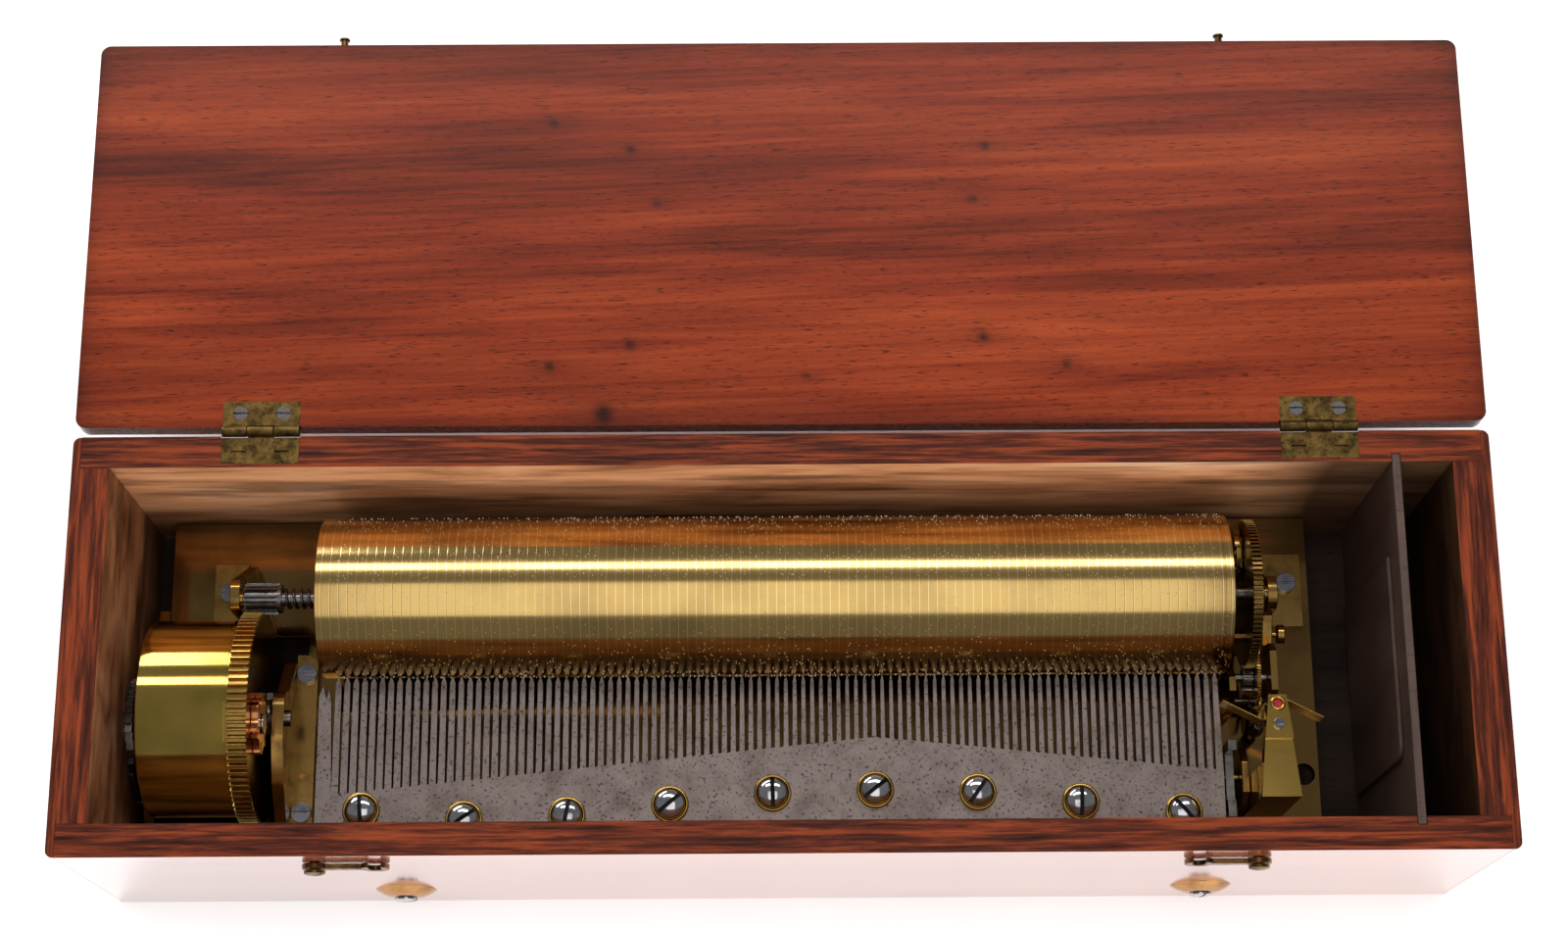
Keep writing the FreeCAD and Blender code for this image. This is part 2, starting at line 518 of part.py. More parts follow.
def leaves(label, sign, reach, inner_knuckle, bore, screws):
    """Both hinges' leaves on one side: a flat leaf, its tabs and knuckles, bored for the pin."""
    pieces = []
    bores = []
    third = "hinge_width / 3"
    for hand, middle in HINGES:
        name = "%s_%s" % (label, hand)
        clear = "hinge_back %s (knuckle_radius + knuckle_gap)" % sign
        far = "hinge_back %s %s" % (sign, reach)
        near, away = (far, clear) if sign == "-" else (clear, far)
        pieces.append(block(name + "_leaf", (middle + " - hinge_width / 2", near,
                                             "case_height - leaf_thick"),
                            (middle + " + hinge_width / 2", away, "case_height")))
        spans = [("-%s / 2" % third, "%s / 2" % third)] if inner_knuckle else [
            ("-hinge_width / 2", "-%s / 2 - knuckle_gap" % third),
            ("%s / 2 + knuckle_gap" % third, "hinge_width / 2")]
        for index, (start, end) in enumerate(spans):
            start = "%s + %s" % (middle, start)
            end = "%s + %s" % (middle, end)
            near, away = (clear, "hinge_back") if sign == "-" else ("hinge_back", clear)
            pieces.append(block("%s_tab%d" % (name, index), (start, near, "case_height - leaf_thick"),
                                (end, away, "case_height")))
            pieces.append(rod("%s_knuckle%d" % (name, index), "x", ("hinge_back", "hinge_height"),
                              "knuckle_radius", start, end))
        bores.append(rod(name + "_bore", "x", ("hinge_back", "hinge_height"), bore,
                         middle + " - hinge_width", middle + " + hinge_width"))
    body = cut(label + "_bored", joined(label + "_solids", pieces), bores)
    node(label, cut(label + "_cut", body, [screws]))


leaves("hinge_leaves_case", "-", "case_leaf_reach", True, "hinge_pin_radius", case_leaf_screws)
leaves("hinge_leaves_lid", "+", "lid_leaf_reach", False, "hinge_pin_radius + fit", lid_leaf_screws)
node("hinge_pins", group("hinge_pins_group", [
    rod("hinge_pin_" + hand, "x", ("hinge_back", "hinge_height"), "hinge_pin_radius",
        middle + " - hinge_width / 2", middle + " + hinge_width / 2") for hand, middle in HINGES]))

for hand, across, sign in HOOKS:
    near = "-(half_depth + hook_gap + hook_thick)"
    far = "-(half_depth + hook_gap)"
    tip = "%s + %shook_reach" % (across, sign)
    arm = (across, tip) if hand == "left" else (tip, across)
    solids = [rod("hook_eye_" + hand, "y", (across, "hook_height"), "hook_eye", near, far),
              rod("hook_ring_" + hand, "y", (tip, "hook_height"), "hook_ring", near, far),
              block("hook_arm_" + hand, (arm[0], near, "hook_height - hook_arm / 2"),
                    (arm[1], far, "hook_height + hook_arm / 2"))]
    holes = [rod("hook_hole_" + hand, "y", (across, "hook_height"), "hook_screw_radius + fit",
                 near + " - 1", far + " + 1"),
             joined("hook_throat_" + hand, [
                 rod("hook_bore_" + hand, "y", (tip, "hook_height"), "hook_throat", near + " - 1",
                     far + " + 1"),
                 block("hook_mouth_" + hand, (tip + " - hook_throat", near + " - 1", "hook_height"),
                       (tip + " + hook_throat", far + " + 1", "hook_height + 2 * hook_ring"))])]
    node("hook_" + hand, cut("hook_cut_" + hand, joined("hook_solid_" + hand, solids), holes))

# ---- bedplate and the screws of the frame -------------------------------------------------------

left_foot_middle = "left_post - left_foot_reach / 2"
right_foot_middle = "right_post + post_thick + right_foot_reach * 0.6"
frame_screws = [
    ("left_foot", "z", (left_foot_middle, "foot_back - 11"), "foot_top", "screw_head", "screw_shank"),
    ("right_foot", "z", (right_foot_middle, "foot_back - 9.6"), "foot_top", "screw_head", "screw_shank"),
    ("cock_front", "z", ("cock_right + cock_foot / 2", "cock_front + 6"), "foot_top", "screw_head",
     "screw_shank"),
    ("cock_back", "z", ("cock_right + cock_foot / 2", "cock_back - 6"), "foot_top", "screw_head",
     "screw_shank"),
    ("cap_screw", "z", ("worm_across", "cap_screw_along"), "governor_top + cap_plate", "cap_screw_head",
     "cap_screw_radius"),
    ("bridge_front", "x", ("notch_front - 4.2", "bed_top - bed_thick / 2"), "bridge_left",
     "screw_head - 0.8",
     "screw_shank - 0.2"),
    ("bridge_back", "x", ("notch_back + 4.2", "bed_top - bed_thick / 2"), "bridge_left", "screw_head - 0.8",
     "screw_shank - 0.2"),
]
frame_blanks = []
frame_slots = []
for name, along, spot, seat, head, shank in frame_screws:
    rise = "cap_screw_rise" if name == "cap_screw" else "screw_head_thick"
    depth = "governor_arm" if name == "cap_screw" else "screw_depth"
    if along == "z":
        frame_blanks.append(rod(name + "_head", "z", spot, head, seat, "%s + %s" % (seat, rise)))
        frame_blanks.append(rod(name + "_shank", "z", spot, shank, "%s - %s" % (seat, depth), seat))
        frame_slots += slots(name, [spot], "z", "%s + %s" % (seat, rise), head)
    else:
        frame_blanks.append(rod(name + "_head", "x", spot, head, seat + " - screw_head_thick", seat))
        frame_blanks.append(rod(name + "_shank", "x", spot, shank, seat, "%s + %s" % (seat, depth)))
        frame_slots += slots(name, [spot], "x", seat + " - screw_head_thick", head)
frame_body = joined("frame_screw_blanks", frame_blanks)
node("movement_screws", cut("movement_screws_cut", frame_body, frame_slots))

bed = plate("bed_sheet", "XY", [
    ("bed_left", "-bed_edge"), ("bed_right", "-bed_edge"), ("bed_right", "bed_edge"),
    ("bed_left", "bed_edge"),
    ("bed_left", "notch_back"), ("notch_right", "notch_back"), ("notch_right", "notch_front"),
    ("bed_left", "notch_front")], "bed_under", "bed_top")
ribs = [block("bed_rib_front", ("bed_left", "-bed_edge", "bed_under - bed_rib_drop"),
              ("bed_right", "-(bed_edge - bed_rib)", "bed_under")),
        block("bed_rib_back", ("bed_left", "bed_edge - bed_rib", "bed_under - bed_rib_drop"),
              ("bed_right", "bed_edge", "bed_under"))]
bed = joined("bed_with_ribs", [bed] + ribs)
bed_holes = [rod("bed_round_hole", "z", ("bed_hole_across", "bed_hole_along"), "bed_hole_radius",
                 "bed_under - 1", "bed_top + 1"),
             rod("bed_worm_hole", "z", ("worm_across", "worm_back"), "fly_pivot + fit", "bed_under - 1",
                 "bed_top + 1")]
for index, tool in enumerate(bed_holes + [frame_body, bolt_body]):
    bed = cut("bed_cut%d" % index, bed, [tool])
node("bedplate", bed)

# ---- comb ---------------------------------------------------------------------------------------


def tooth_root(across):
    """Where the sawn slots end: a shallow roof with its peak over comb_peak."""
    return size.comb_peak_root - size.comb_root_slope * abs(across - size.comb_peak)


def tooth_width(across):
    far = max(size.comb_peak - size.comb_left, size.comb_right - size.comb_peak)
    share = min(1.0, abs(across - size.comb_peak) / far * 1.15)
    return size.tooth_narrow + (size.tooth_wide - size.tooth_narrow) * share


def comb_outline():
    """The steel comb seen from above: heel, unsawn left strip with a broken end, then the teeth."""
    first = size.comb_left + size.comb_blank
    points = [Vector(size.comb_right, size.comb_front, 0), Vector(size.comb_left, size.comb_front, 0)]
    for share, short in ((0.0, 5.2), (0.3, 2.2), (0.5, 6.4), (0.7, 3.4), (0.85, 7.4)):
        points.append(Vector(size.comb_left + share * size.comb_blank, size.comb_tip - short, 0))
    for tooth in range(int(size.comb_teeth)):
        middle = first + (tooth + 0.5) * size.tooth_pitch
        tip_half = tooth_width(middle) / 2
        root_half = min(tip_half + size.tooth_taper / 2, 0.42 * size.tooth_pitch)
        root = tooth_root(middle)
        last = tooth == int(size.comb_teeth) - 1
        points.append(Vector(middle - root_half, root, 0))
        points.append(Vector(middle - tip_half, size.comb_tip - size.tooth_point, 0))
        points.append(Vector(middle - tip_half / 4, size.comb_tip, 0))
        points.append(Vector(middle + tip_half / 4, size.comb_tip, 0))
        points.append(Vector(middle + tip_half, size.comb_tip - size.tooth_point, 0))
        points.append(Vector(size.comb_right if last else middle + root_half, root, 0))
    return points


comb_spots = []
for index in range(int(size.comb_screws)):
    across = size.comb_left + size.comb_blank + 9.3 + index * 29.8
    along = max(tooth_root(across) - 13.5, size.comb_front + 2.6) + 2.6 * (index == 0)
    comb_spots.append(("%.3f" % across, "%.3f" % min(along, size.comb_peak_root - 15.7)))

comb_blanks = []
washers = []
comb_slots = []
for index, spot in enumerate(comb_spots):
    seat = "comb_top + comb_washer_thick"
    comb_blanks.append(rod("comb_head%d" % index, "z", spot, "comb_screw_head", seat,
                           seat + " + comb_screw_dome"))
    comb_blanks.append(rod("comb_shank%d" % index, "z", spot, "comb_screw_radius",
                           "comb_top - comb_screw_depth", seat))
    washers.append(solid("comb_washer%d" % index, lathe_shape("z", [
        (0, size.comb_screw_radius), (0, size.comb_washer), (0.5, size.comb_washer),
        (size.comb_washer_thick, size.comb_washer - 0.7),
        (size.comb_washer_thick, size.comb_screw_radius)]), spot + ("comb_top",)))
    comb_slots += slots("comb%d" % index, [spot], "z", seat + " + comb_screw_dome", "comb_screw_head")
comb_screw_body = joined("comb_screw_blanks", comb_blanks)
node("comb_screws", cut("comb_screws_cut", comb_screw_body, comb_slots))
node("comb_washers", group("comb_washers_group", washers))

outline = comb_outline()
comb_steel = Part.Face(Part.makePolygon(outline + outline[:1])).extrude(Vector(0, 0, size.comb_thick))
comb_blank = solid("comb_steel", comb_steel, ("0", "0", "comb_under"))
node("comb", cut("comb_cut", comb_blank, [comb_screw_body]))

heel_roots = [(size.comb_left, tooth_root(size.comb_left) - 2), (size.comb_peak, size.comb_peak_root - 2),
              (size.comb_right, tooth_root(size.comb_right) - 2)]
base_outline = [("comb_left", "comb_front"), ("comb_right", "comb_front")]
base_outline += [("comb_right", "%.3f" % heel_roots[2][1]), ("comb_peak", "%.3f" % heel_roots[1][1]),
                 ("comb_left", "%.3f" % heel_roots[0][1])]
base = joined("comb_base_solids", [
    plate("comb_base_block", "XY", base_outline, "bed_top", "comb_under"),
    block("comb_base_shelf", ("shelf_left", "comb_front", "bed_top"),
          ("comb_right", "shelf_back", "shelf_top"))])
node("comb_base", cut("comb_base_cut", base, [comb_screw_body]))

leads = []
for tooth in range(int(size.leaded_teeth)):
    middle = size.comb_left + size.comb_blank + (tooth + 0.5) * size.tooth_pitch
    deep = size.lead_deep + (size.lead_shallow - size.lead_deep) * tooth / (size.leaded_teeth - 1)
    leads.append(Part.makeBox(size.lead_width, size.lead_length, deep, Vector(
        middle - size.lead_width / 2, size.comb_tip - size.lead_back - size.lead_length, -deep)))
node("comb_leads", solid("comb_lead_blocks", Part.makeCompound(leads), ("0", "0", "comb_under")))

# ---- bearings of the cylinder's arbor -----------------------------------------------------------

left_post = plate("left_post_board", "YZ", [
    ("left_post_front", "bed_top"), ("foot_back - 3", "bed_top"), ("foot_back - 3", "bed_top + 5"),
    ("arbor_back + 8", "arbor_height - 4"), ("arbor_back + 4.5", "arbor_height + 5"),
    ("left_post_front", "arbor_height + 5")], "left_post", "left_post + post_thick", (4, 5), "3.4")
right_post = plate("right_post_board", "YZ", [
    ("finger_back - 4.4", "bed_top"), ("foot_back - 5", "bed_top"), ("foot_back - 5", "bed_top + 5"),
    ("arbor_back + 5", "arbor_height - 7"), ("arbor_back + 5", "arbor_height + 5"),
    ("arbor_back - 5", "arbor_height + 5"), ("arbor_back - 5", "arbor_height - 6"),
    ("finger_back - 4.4", "finger_height + 4")], "right_post", "right_post + post_thick", (4, 5), "4.6")
left_bearing = joined("left_bearing_solids", [left_post, block(
    "left_foot", ("left_post - left_foot_reach", "foot_front + 1.4", "bed_top"),
    ("left_post", "foot_back - 1.5", "foot_top"))])
right_bearing = joined("right_bearing_solids", [right_post, block(
    "right_foot", ("right_post + post_thick", "foot_front", "bed_top"),
    ("right_post + post_thick + right_foot_reach", "foot_back", "foot_top"))])
bushes = []
for hand, post, bearing in (("left", "left_post", left_bearing), ("right", "right_post", right_bearing)):
    seat = rod("bush_seat_" + hand, "x", ("arbor_back", "arbor_height"), "bush_radius",
               post + " - bush_boss", post + " + post_thick + bush_boss")
    hole = rod("bush_hole_" + hand, "x", ("arbor_back", "arbor_height"), "bush_bore",
               post + " - 2 * post_thick", post + " + 2 * post_thick")
    bushes.append(cut("bush_" + hand, seat, [hole]))
    bearing = cut("bearing_bored_" + hand, bearing, [seat])
    if hand == "right":
        bearing = cut("bearing_finger_hole", bearing, [rod(
            "finger_hole", "x", ("finger_back", "finger_height"), "finger_radius + fit",
            "right_post - 1", "right_post + post_thick + 1")])
    node("bearing_" + hand, cut("bearing_cut_" + hand, bearing, [frame_body]))
node("bearing_bushes", group("bearing_bushes_group", bushes))

# ---- spring barrel and winding work -------------------------------------------------------------

AXLE = ("barrel_back", "barrel_height")

bridge = plate("bridge_board", "YZ", [
    ("notch_front - 8", "bed_under"), ("notch_back + 8", "bed_under"), ("notch_back + 8", "bed_top + 1"),
    ("barrel_back + bridge_head + 3", "barrel_height - 6"),
    ("barrel_back + bridge_head", "barrel_height + bridge_head"),
    ("barrel_back - bridge_head", "barrel_height + bridge_head"),
    ("barrel_back - bridge_head - bridge_shoulder", "barrel_height - 6"),
    ("notch_front - 8", "bed_top + 1")],
    "bridge_left", "bridge_right", (4, 5), "7")
bridge = cut("bridge_bored", bridge, [rod("bridge_bore", "x", AXLE, "cover_journal + fit",
                                          "bridge_left - 1", "bridge_right + 1")])
click_far = size.ratchet_radius + size.click_gap + size.click_eye + size.click_pivot
hub = Vector(0, math.cos(math.radians(size.click_angle)),
             math.sin(math.radians(size.click_angle))) * click_far
click_spot = ("barrel_back + %.4f" % hub.y, "barrel_height + %.4f" % hub.z)
click_pin = rod("click_pin", "x", click_spot, "click_pivot", "ratchet_left", "bridge_left + 2")
node("barrel_bridge", cut("bridge_cut", joined("bridge_with_pin", [bridge, click_pin]), [frame_body]))

cock_plate = plate("cock_board", "YZ", [
    ("cock_front", "bed_top"), ("cock_back - 3", "bed_top"), ("cock_back - 3", "bed_top + 5"),
    ("barrel_back + cock_head + 1", "barrel_height"),
    ("barrel_back + cock_head", "barrel_height + cock_head"),
    ("barrel_back - cock_head", "barrel_height + cock_head"), ("cock_front + 12", "barrel_height + 2"),
    ("cock_front", "bed_top + 9")], "cock_left", "cock_right", (4, 5, 6), "5.5")
cock = joined("cock_solids", [cock_plate, plate("cock_foot_plate", "XY", [
    ("cock_right", "cock_front"), ("cock_right + cock_foot", "cock_front"),
    ("cock_right + cock_foot", "cock_back"), ("cock_right", "cock_back")],
    "bed_top", "foot_top", (2,), "4")])
cock = cut("cock_bored", cock, [
    rod("cock_bore", "x", AXLE, "end_journal + fit", "cock_left - 1", "cock_right + 1"),
    rod("cock_pin_hole", "z", ("cock_right + cock_foot / 2", "barrel_back - 15.2"), "cock_hole",
        "bed_top + 0.8", "foot_top + 1")])
node("barrel_cock", cut("cock_cut", cock, [frame_body]))

square = block("winding_square", ("square_end", "barrel_back - square_side / 2",
                                  "barrel_height - square_side / 2"),
               ("square_start", "barrel_back + square_side / 2", "barrel_height + square_side / 2"))
node("winding_arbor", joined("winding_arbor_solids", [
    square,
    rod("arbor_cover_journal", "x", AXLE, "cover_journal", "square_start",
        "barrel_left + cover_thick + 0.4"),
    rod("arbor_core", "x", AXLE, "core_radius", "barrel_left + cover_thick + 0.4", "wheel_left - 0.4"),
    rod("arbor_wheel_journal", "x", AXLE, "wheel_journal", "wheel_left - 0.4", "stop_left"),
    rod("arbor_end", "x", AXLE, "end_journal", "stop_right", "cock_right + 1.2"),
    rod("stop_disc_solid", "x", AXLE, "stop_disc", "stop_left", "stop_right"),
    block("stop_nose_solid", ("stop_left", "barrel_back", "barrel_height - nose_width / 2"),
          ("stop_right", "barrel_back + stop_nose", "barrel_height + nose_width / 2"))]))

ratchet_points = []
for tooth in range(int(size.ratchet_teeth)):
    for share, radius in ((0.0, size.ratchet_radius), (0.12, size.ratchet_radius - size.ratchet_tooth)):
        angle = 2 * math.pi * (tooth + share) / size.ratchet_teeth
        ratchet_points.append(Vector(size.ratchet_left, size.barrel_back + radius * math.cos(angle),
                                     size.barrel_height + radius * math.sin(angle)))
ratchet_outline = Part.Face(Part.makePolygon(ratchet_points + ratchet_points[:1]))
ratchet = ratchet_outline.extrude(Vector(size.ratchet_thick, 0, 0))
node("ratchet_wheel", cut("ratchet_cut", solid("ratchet_blank", ratchet), [
    rod("ratchet_bore", "x", AXLE, "cover_journal", "ratchet_left - 1", "ratchet_right + 1")]))

# The click stands beside the ratchet; its nose stays click_gap outside the teeth.
nose_angle = math.radians(size.click_angle - size.click_lean)
nose = Vector(0, math.cos(nose_angle), math.sin(nose_angle)) * (size.ratchet_radius + size.click_gap)
run = (nose - hub).normalize()
out = Vector(0, -run.z, run.y)
corners = [Vector(0, 0, 0) + out * size.click_width, nose - hub + out * size.click_width, nose - hub,
           run * 0.5 - out * size.click_width]
arm = Part.Face(Part.makePolygon(corners + corners[:1])).extrude(Vector(size.ratchet_thick - 0.3, 0, 0))
eye = Part.makeCylinder(size.click_eye, size.ratchet_thick - 0.3, Vector(0, 0, 0), Vector(1, 0, 0))
bore = Part.makeCylinder(size.click_pivot + size.fit, 2 * size.ratchet_thick, Vector(-1, 0, 0),
                         Vector(1, 0, 0))
click_place = ("ratchet_left + 0.1",) + click_spot
node("click", solid("click_steel", arm.fuse(eye).cut(bore), click_place))
low = out * size.click_lift
high = out * (size.click_lift + size.click_spring_thick)
corners = [low - run * 9, low + run * 7, high + run * 7, high - run * 9]
strip = Part.Face(Part.makePolygon(corners + corners[:1])).extrude(Vector(size.ratchet_thick - 0.6, 0, 0))
stud = Part.makeCylinder(1.0, size.bridge_left - size.ratchet_left - 0.1, low - run * 8, Vector(1, 0, 0))
node("click_spring", solid("click_spring_steel", strip.fuse(stud), click_place))

drum = cut("drum_hollow", rod("drum_outside", "x", AXLE, "drum_radius", "barrel_left", "wheel_left"), [
    rod("drum_inside", "x", AXLE, "drum_radius - drum_shell", "barrel_left + cover_thick",
        "wheel_left + 1")])
node("barrel_drum", cut("drum_cut", drum, [
    rod("cover_bore", "x", AXLE, "cover_journal + fit", "barrel_left - 1",
        "barrel_left + cover_thick + 1")]))

mesh_angle = math.degrees(math.atan2(size.barrel_drop, size.arbor_back - size.barrel_back))
maltese = ("maltese_back", "maltese_height")
node("barrel_wheel", toothed("barrel_wheel_brass", "wheel_left", AXLE, size.wheel_thick, size.wheel_teeth,
                             size.pinion_module, size.wheel_journal + size.fit, mesh_angle))
node("star_screw", joined("star_screw_solids", [
    rod("star_stem", "x", maltese, "maltese_bore - fit", "wheel_right", "stop_right + maltese_play"),
    rod("star_head", "x", maltese, "maltese_head", "stop_right + maltese_play", "star_screw_end")]))

cross = Part.makeCylinder(size.maltese_radius, size.stop_thick, Vector(0, 0, 0), Vector(1, 0, 0))
for arm_index in range(int(size.maltese_arms)):
    turn = 360 * arm_index / size.maltese_arms
    scallop = Part.makeCylinder(size.maltese_scallop, size.stop_thick + 2,
                                Vector(-1, size.maltese_radius + 2.6, 0), Vector(1, 0, 0))
    scallop.rotate(Vector(0, 0, 0), Vector(1, 0, 0), turn + 180 / size.maltese_arms)
    notch = Part.makeBox(size.stop_thick + 2, 4.0, 1.2, Vector(-1, size.maltese_radius - 3.4, -0.6))
    notch.rotate(Vector(0, 0, 0), Vector(1, 0, 0), turn)
    cross = cross.cut([scallop, notch])
cross = cross.cut(Part.makeCylinder(size.maltese_bore, size.stop_thick + 2, Vector(-1, 0, 0),
                                    Vector(1, 0, 0)))
node("stop_star", solid("stop_star_copper", cross, ("stop_left",) + maltese))

# The mainspring's outer end rests on the drum's wall.
inner = size.core_radius + size.mainspring_play
outer = size.drum_radius - size.drum_shell
steps = int(size.mainspring_turns * size.mainspring_steps)
spiral = []
for offset in (0.0, size.mainspring_strip):
    side = []
    for step in range(steps + 1):
        angle = 2 * math.pi * step / size.mainspring_steps
        radius = inner + (outer - size.mainspring_strip - inner) * step / steps + offset
        side.append(Vector(0, radius * math.cos(angle), radius * math.sin(angle)))
    spiral = spiral + side[::-1] if spiral else side
spring_width = size.wheel_left - size.barrel_left - size.cover_thick - 2 * size.mainspring_play
coil = Part.Face(Part.makePolygon(spiral + spiral[:1])).extrude(Vector(spring_width, 0, 0))
node("mainspring", solid("mainspring_steel", coil, ("barrel_left + cover_thick + mainspring_play",) + AXLE))

# ---- cylinder, its arbor, wheels and tune change ------------------------------------------------

CORE = ("arbor_back", "arbor_height")

node("cylinder_arbor", joined("cylinder_arbor_solids", [
    rod("arbor_left_journal", "x", CORE, "journal_radius", "left_post - 0.5",
        "left_post + post_thick + 0.5"),
    rod("arbor_shaft", "x", CORE, "arbor_radius", "left_post + post_thick + 0.5", "right_post - 0.5"),
    rod("arbor_right_journal", "x", CORE, "journal_radius", "right_post - 0.5",
        "right_post + post_thick + 0.6"),
    rod("arbor_collar", "x", CORE, "collar_radius", "pinion_left + pinion_length",
        "pinion_left + pinion_length + collar_thick")]))
node("drive_pinion", toothed("drive_pinion_steel", "pinion_left", CORE, size.pinion_length,
                             size.pinion_leaves,
                             size.pinion_module, size.arbor_radius,
                             mesh_angle + 180 + 180 / size.pinion_leaves))

train = toothed("train_brass", "train_left", CORE, size.train_thick, size.train_teeth, size.train_module,
                size.arbor_radius, 180 + size.first_lean)
train_hub = cut("train_hub_bored", rod("train_hub_solid", "x", CORE, "train_hub", "train_right",
                                       "train_hub_end"), [
    rod("train_hub_bore", "x", CORE, "arbor_radius", "train_right - 1", "train_hub_end + 1")])
node("cylinder_wheel", joined("cylinder_wheel_solids", [
    train, train_hub,
    rod("guide_pin", "x", ("arbor_back - guide_offset", "arbor_height"), "guide_radius",
        "train_left - guide_reach", "train_left"),
    rod("snail_stud_solid", "x", ("snail_back", "arbor_height"), "snail_stud",
        "train_left - snail_stud_reach", "train_left")]))

shell = cut("cylinder_shell_solid", rod("cylinder_outside", "x", CORE, "cylinder_radius", "cylinder_left",
                                        "cylinder_right"), [
    rod("cylinder_inside", "x", CORE, "cylinder_radius - cylinder_shell", "cylinder_left + cap_thick",
        "cylinder_right - cap_thick")])
tube = joined("cylinder_solids", [
    shell,
    rod("cap_hub_solid", "x", CORE, "cap_hub", "cylinder_left - cap_hub_length", "cylinder_left"),
    rod("follower", "x", ("arbor_back + follower_offset", "arbor_height"), "follower_radius",
        "cylinder_right", "snail_low - follower_gap")])
node("cylinder", cut("cylinder_cut", cut("cylinder_bored", tube, [
    rod("cylinder_bore", "x", CORE, "arbor_radius + fit", "cylinder_left - 2 * cap_hub_length",
        "cylinder_right + 1")]), [
    rod("guide_hole", "x", ("arbor_back - guide_offset", "arbor_height"), "guide_radius + fit",
        "cylinder_right - cap_thick - 1", "cylinder_right + 1")]))

# The return spring rests on the collar and stands spring_play short of the cylinder's hub.
coil_start = size.pinion_left + size.pinion_length + size.collar_thick + size.spring_wire
coil_end = size.cylinder_left - size.cap_hub_length - size.spring_play - size.spring_wire
coil_radius = size.arbor_radius + size.spring_play + size.spring_wire
helix = Part.makeHelix((coil_end - coil_start) / size.spring_turns, coil_end - coil_start, coil_radius)
section = [Vector(coil_radius + size.spring_wire * math.cos(k * math.pi / 4), 0,
                  size.spring_wire * math.sin(k * math.pi / 4)) for k in range(8)]
coil = Part.Wire(helix).makePipeShell([Part.makePolygon(section + section[:1])], True, True)
coil.rotate(Vector(0, 0, 0), Vector(0, 1, 0), 90)
node("return_spring", solid("return_spring_steel", coil, (
    "pinion_left + pinion_length + collar_thick + spring_wire",) + CORE))

# The snail's six flats rise towards the cylinder; the follower rests over the lowest one.
lobes = []
for lobe in range(2 * int(size.tunes)):
    radius = size.star_tip if lobe % 2 == 0 else size.star_valley
    angle = math.pi * (lobe + 0.5) / size.tunes
    lobes.append(Vector(0, radius * math.cos(angle), radius * math.sin(angle)))
snail = Part.Face(Part.makePolygon(lobes + lobes[:1])).extrude(Vector(size.star_plate, 0, 0))
sector = 360 / size.tunes
for step in range(int(size.tunes)):
    rise = size.snail_floor + step * size.snail_step
    wedge = Part.makeCylinder(size.snail_radius, rise + size.star_plate / 2, Vector(-rise, 0, 0),
                              Vector(1, 0, 0), sector)
    now = math.degrees(math.atan2(wedge.CenterOfMass.z, wedge.CenterOfMass.y))
    wedge.rotate(Vector(0, 0, 0), Vector(1, 0, 0), 180 - step * sector - now)
    snail = snail.fuse(wedge)
snail = snail.cut(Part.makeCylinder(size.snail_stud + size.fit, 20, Vector(-10, 0, 0), Vector(1, 0, 0)))
node("tune_snail", solid("tune_snail_brass", snail, ("star_left", "snail_back", "arbor_height")))

node("change_finger", joined("change_finger_solids", [
    rod("finger_stem", "x", ("finger_back", "finger_height"), "finger_radius", "finger_left",
        "finger_right"),
    rod("finger_button", "x", ("finger_back", "finger_height"), "button_radius", "finger_right",
        "finger_right + button_thick")]))

# ---- governor -----------------------------------------------------------------------------------

FIRST = ("first_back", "first_height")
SECOND = ("second_back", "second_height")

for hand, left, back, top in (("left", "frame_left", "left_frame_back", "left_frame_top"),
                              ("right", "frame_right", "right_frame_back", "right_frame_top")):
    board = plate("governor_board_" + hand, "YZ", [
        ("frame_front", "bed_top"), (back, "bed_top"), (back, top + " - 3"), (back + " - 3", top),
        ("frame_front + 5", top), ("frame_front", "second_height + 6")], left, left + " + frame_thick")
    node("governor_frame_" + hand, cut("governor_frame_cut_" + hand, board, [
        rod("first_hole_" + hand, "x", FIRST, "train_pivot + fit", left + " - 1",
            left + " + frame_thick + 1"),
        rod("second_hole_" + hand, "x", SECOND, "second_pivot + fit", left + " - 1",
            left + " + frame_thick + 1")]))


def staff(label, spot, pivot, arbor, blank):
    """A steel staff between the governor's frames with its pinion cut on it."""
    return node(label, joined(label + "_solids", [
        rod(label + "_pivots", "x", spot, pivot, "frame_left + 0.3", "frame_right_end - 0.3"),
        rod(label + "_arbor", "x", spot, arbor, "frame_left_end + 0.25", "frame_right - 0.25"),
        blank]))


staff("first_pinion", FIRST, "train_pivot", "train_arbor", toothed(
    "first_leaves_steel", "train_left - 0.2", FIRST, size.train_thick + 0.2, size.first_leaves,
    size.train_module, size.train_arbor - 0.3, size.first_lean + 180 / size.first_leaves))
fine_angle = math.degrees(math.atan2(size.second_height - size.first_height,
                                     size.second_back - size.first_back))
node("first_wheel", toothed("first_wheel_brass", "first_wheel_left", FIRST, size.first_wheel_thick,
                            size.first_teeth, size.fine_module, size.train_arbor, fine_angle))
staff("second_pinion", SECOND, "second_pivot", "second_arbor", toothed(
    "second_leaves_steel", "first_wheel_left - 0.1", SECOND, size.first_wheel_thick + 0.2,
    size.second_leaves, size.fine_module, size.second_arbor - 0.2,
    fine_angle + 180 + 180 / size.second_leaves))
node("worm_wheel", toothed("worm_wheel_brass", "worm_wheel_left", SECOND, size.worm_wheel_thick,
                           size.worm_teeth, size.worm_module, size.second_arbor, 180,
                           size.worm_rise / size.worm_module))

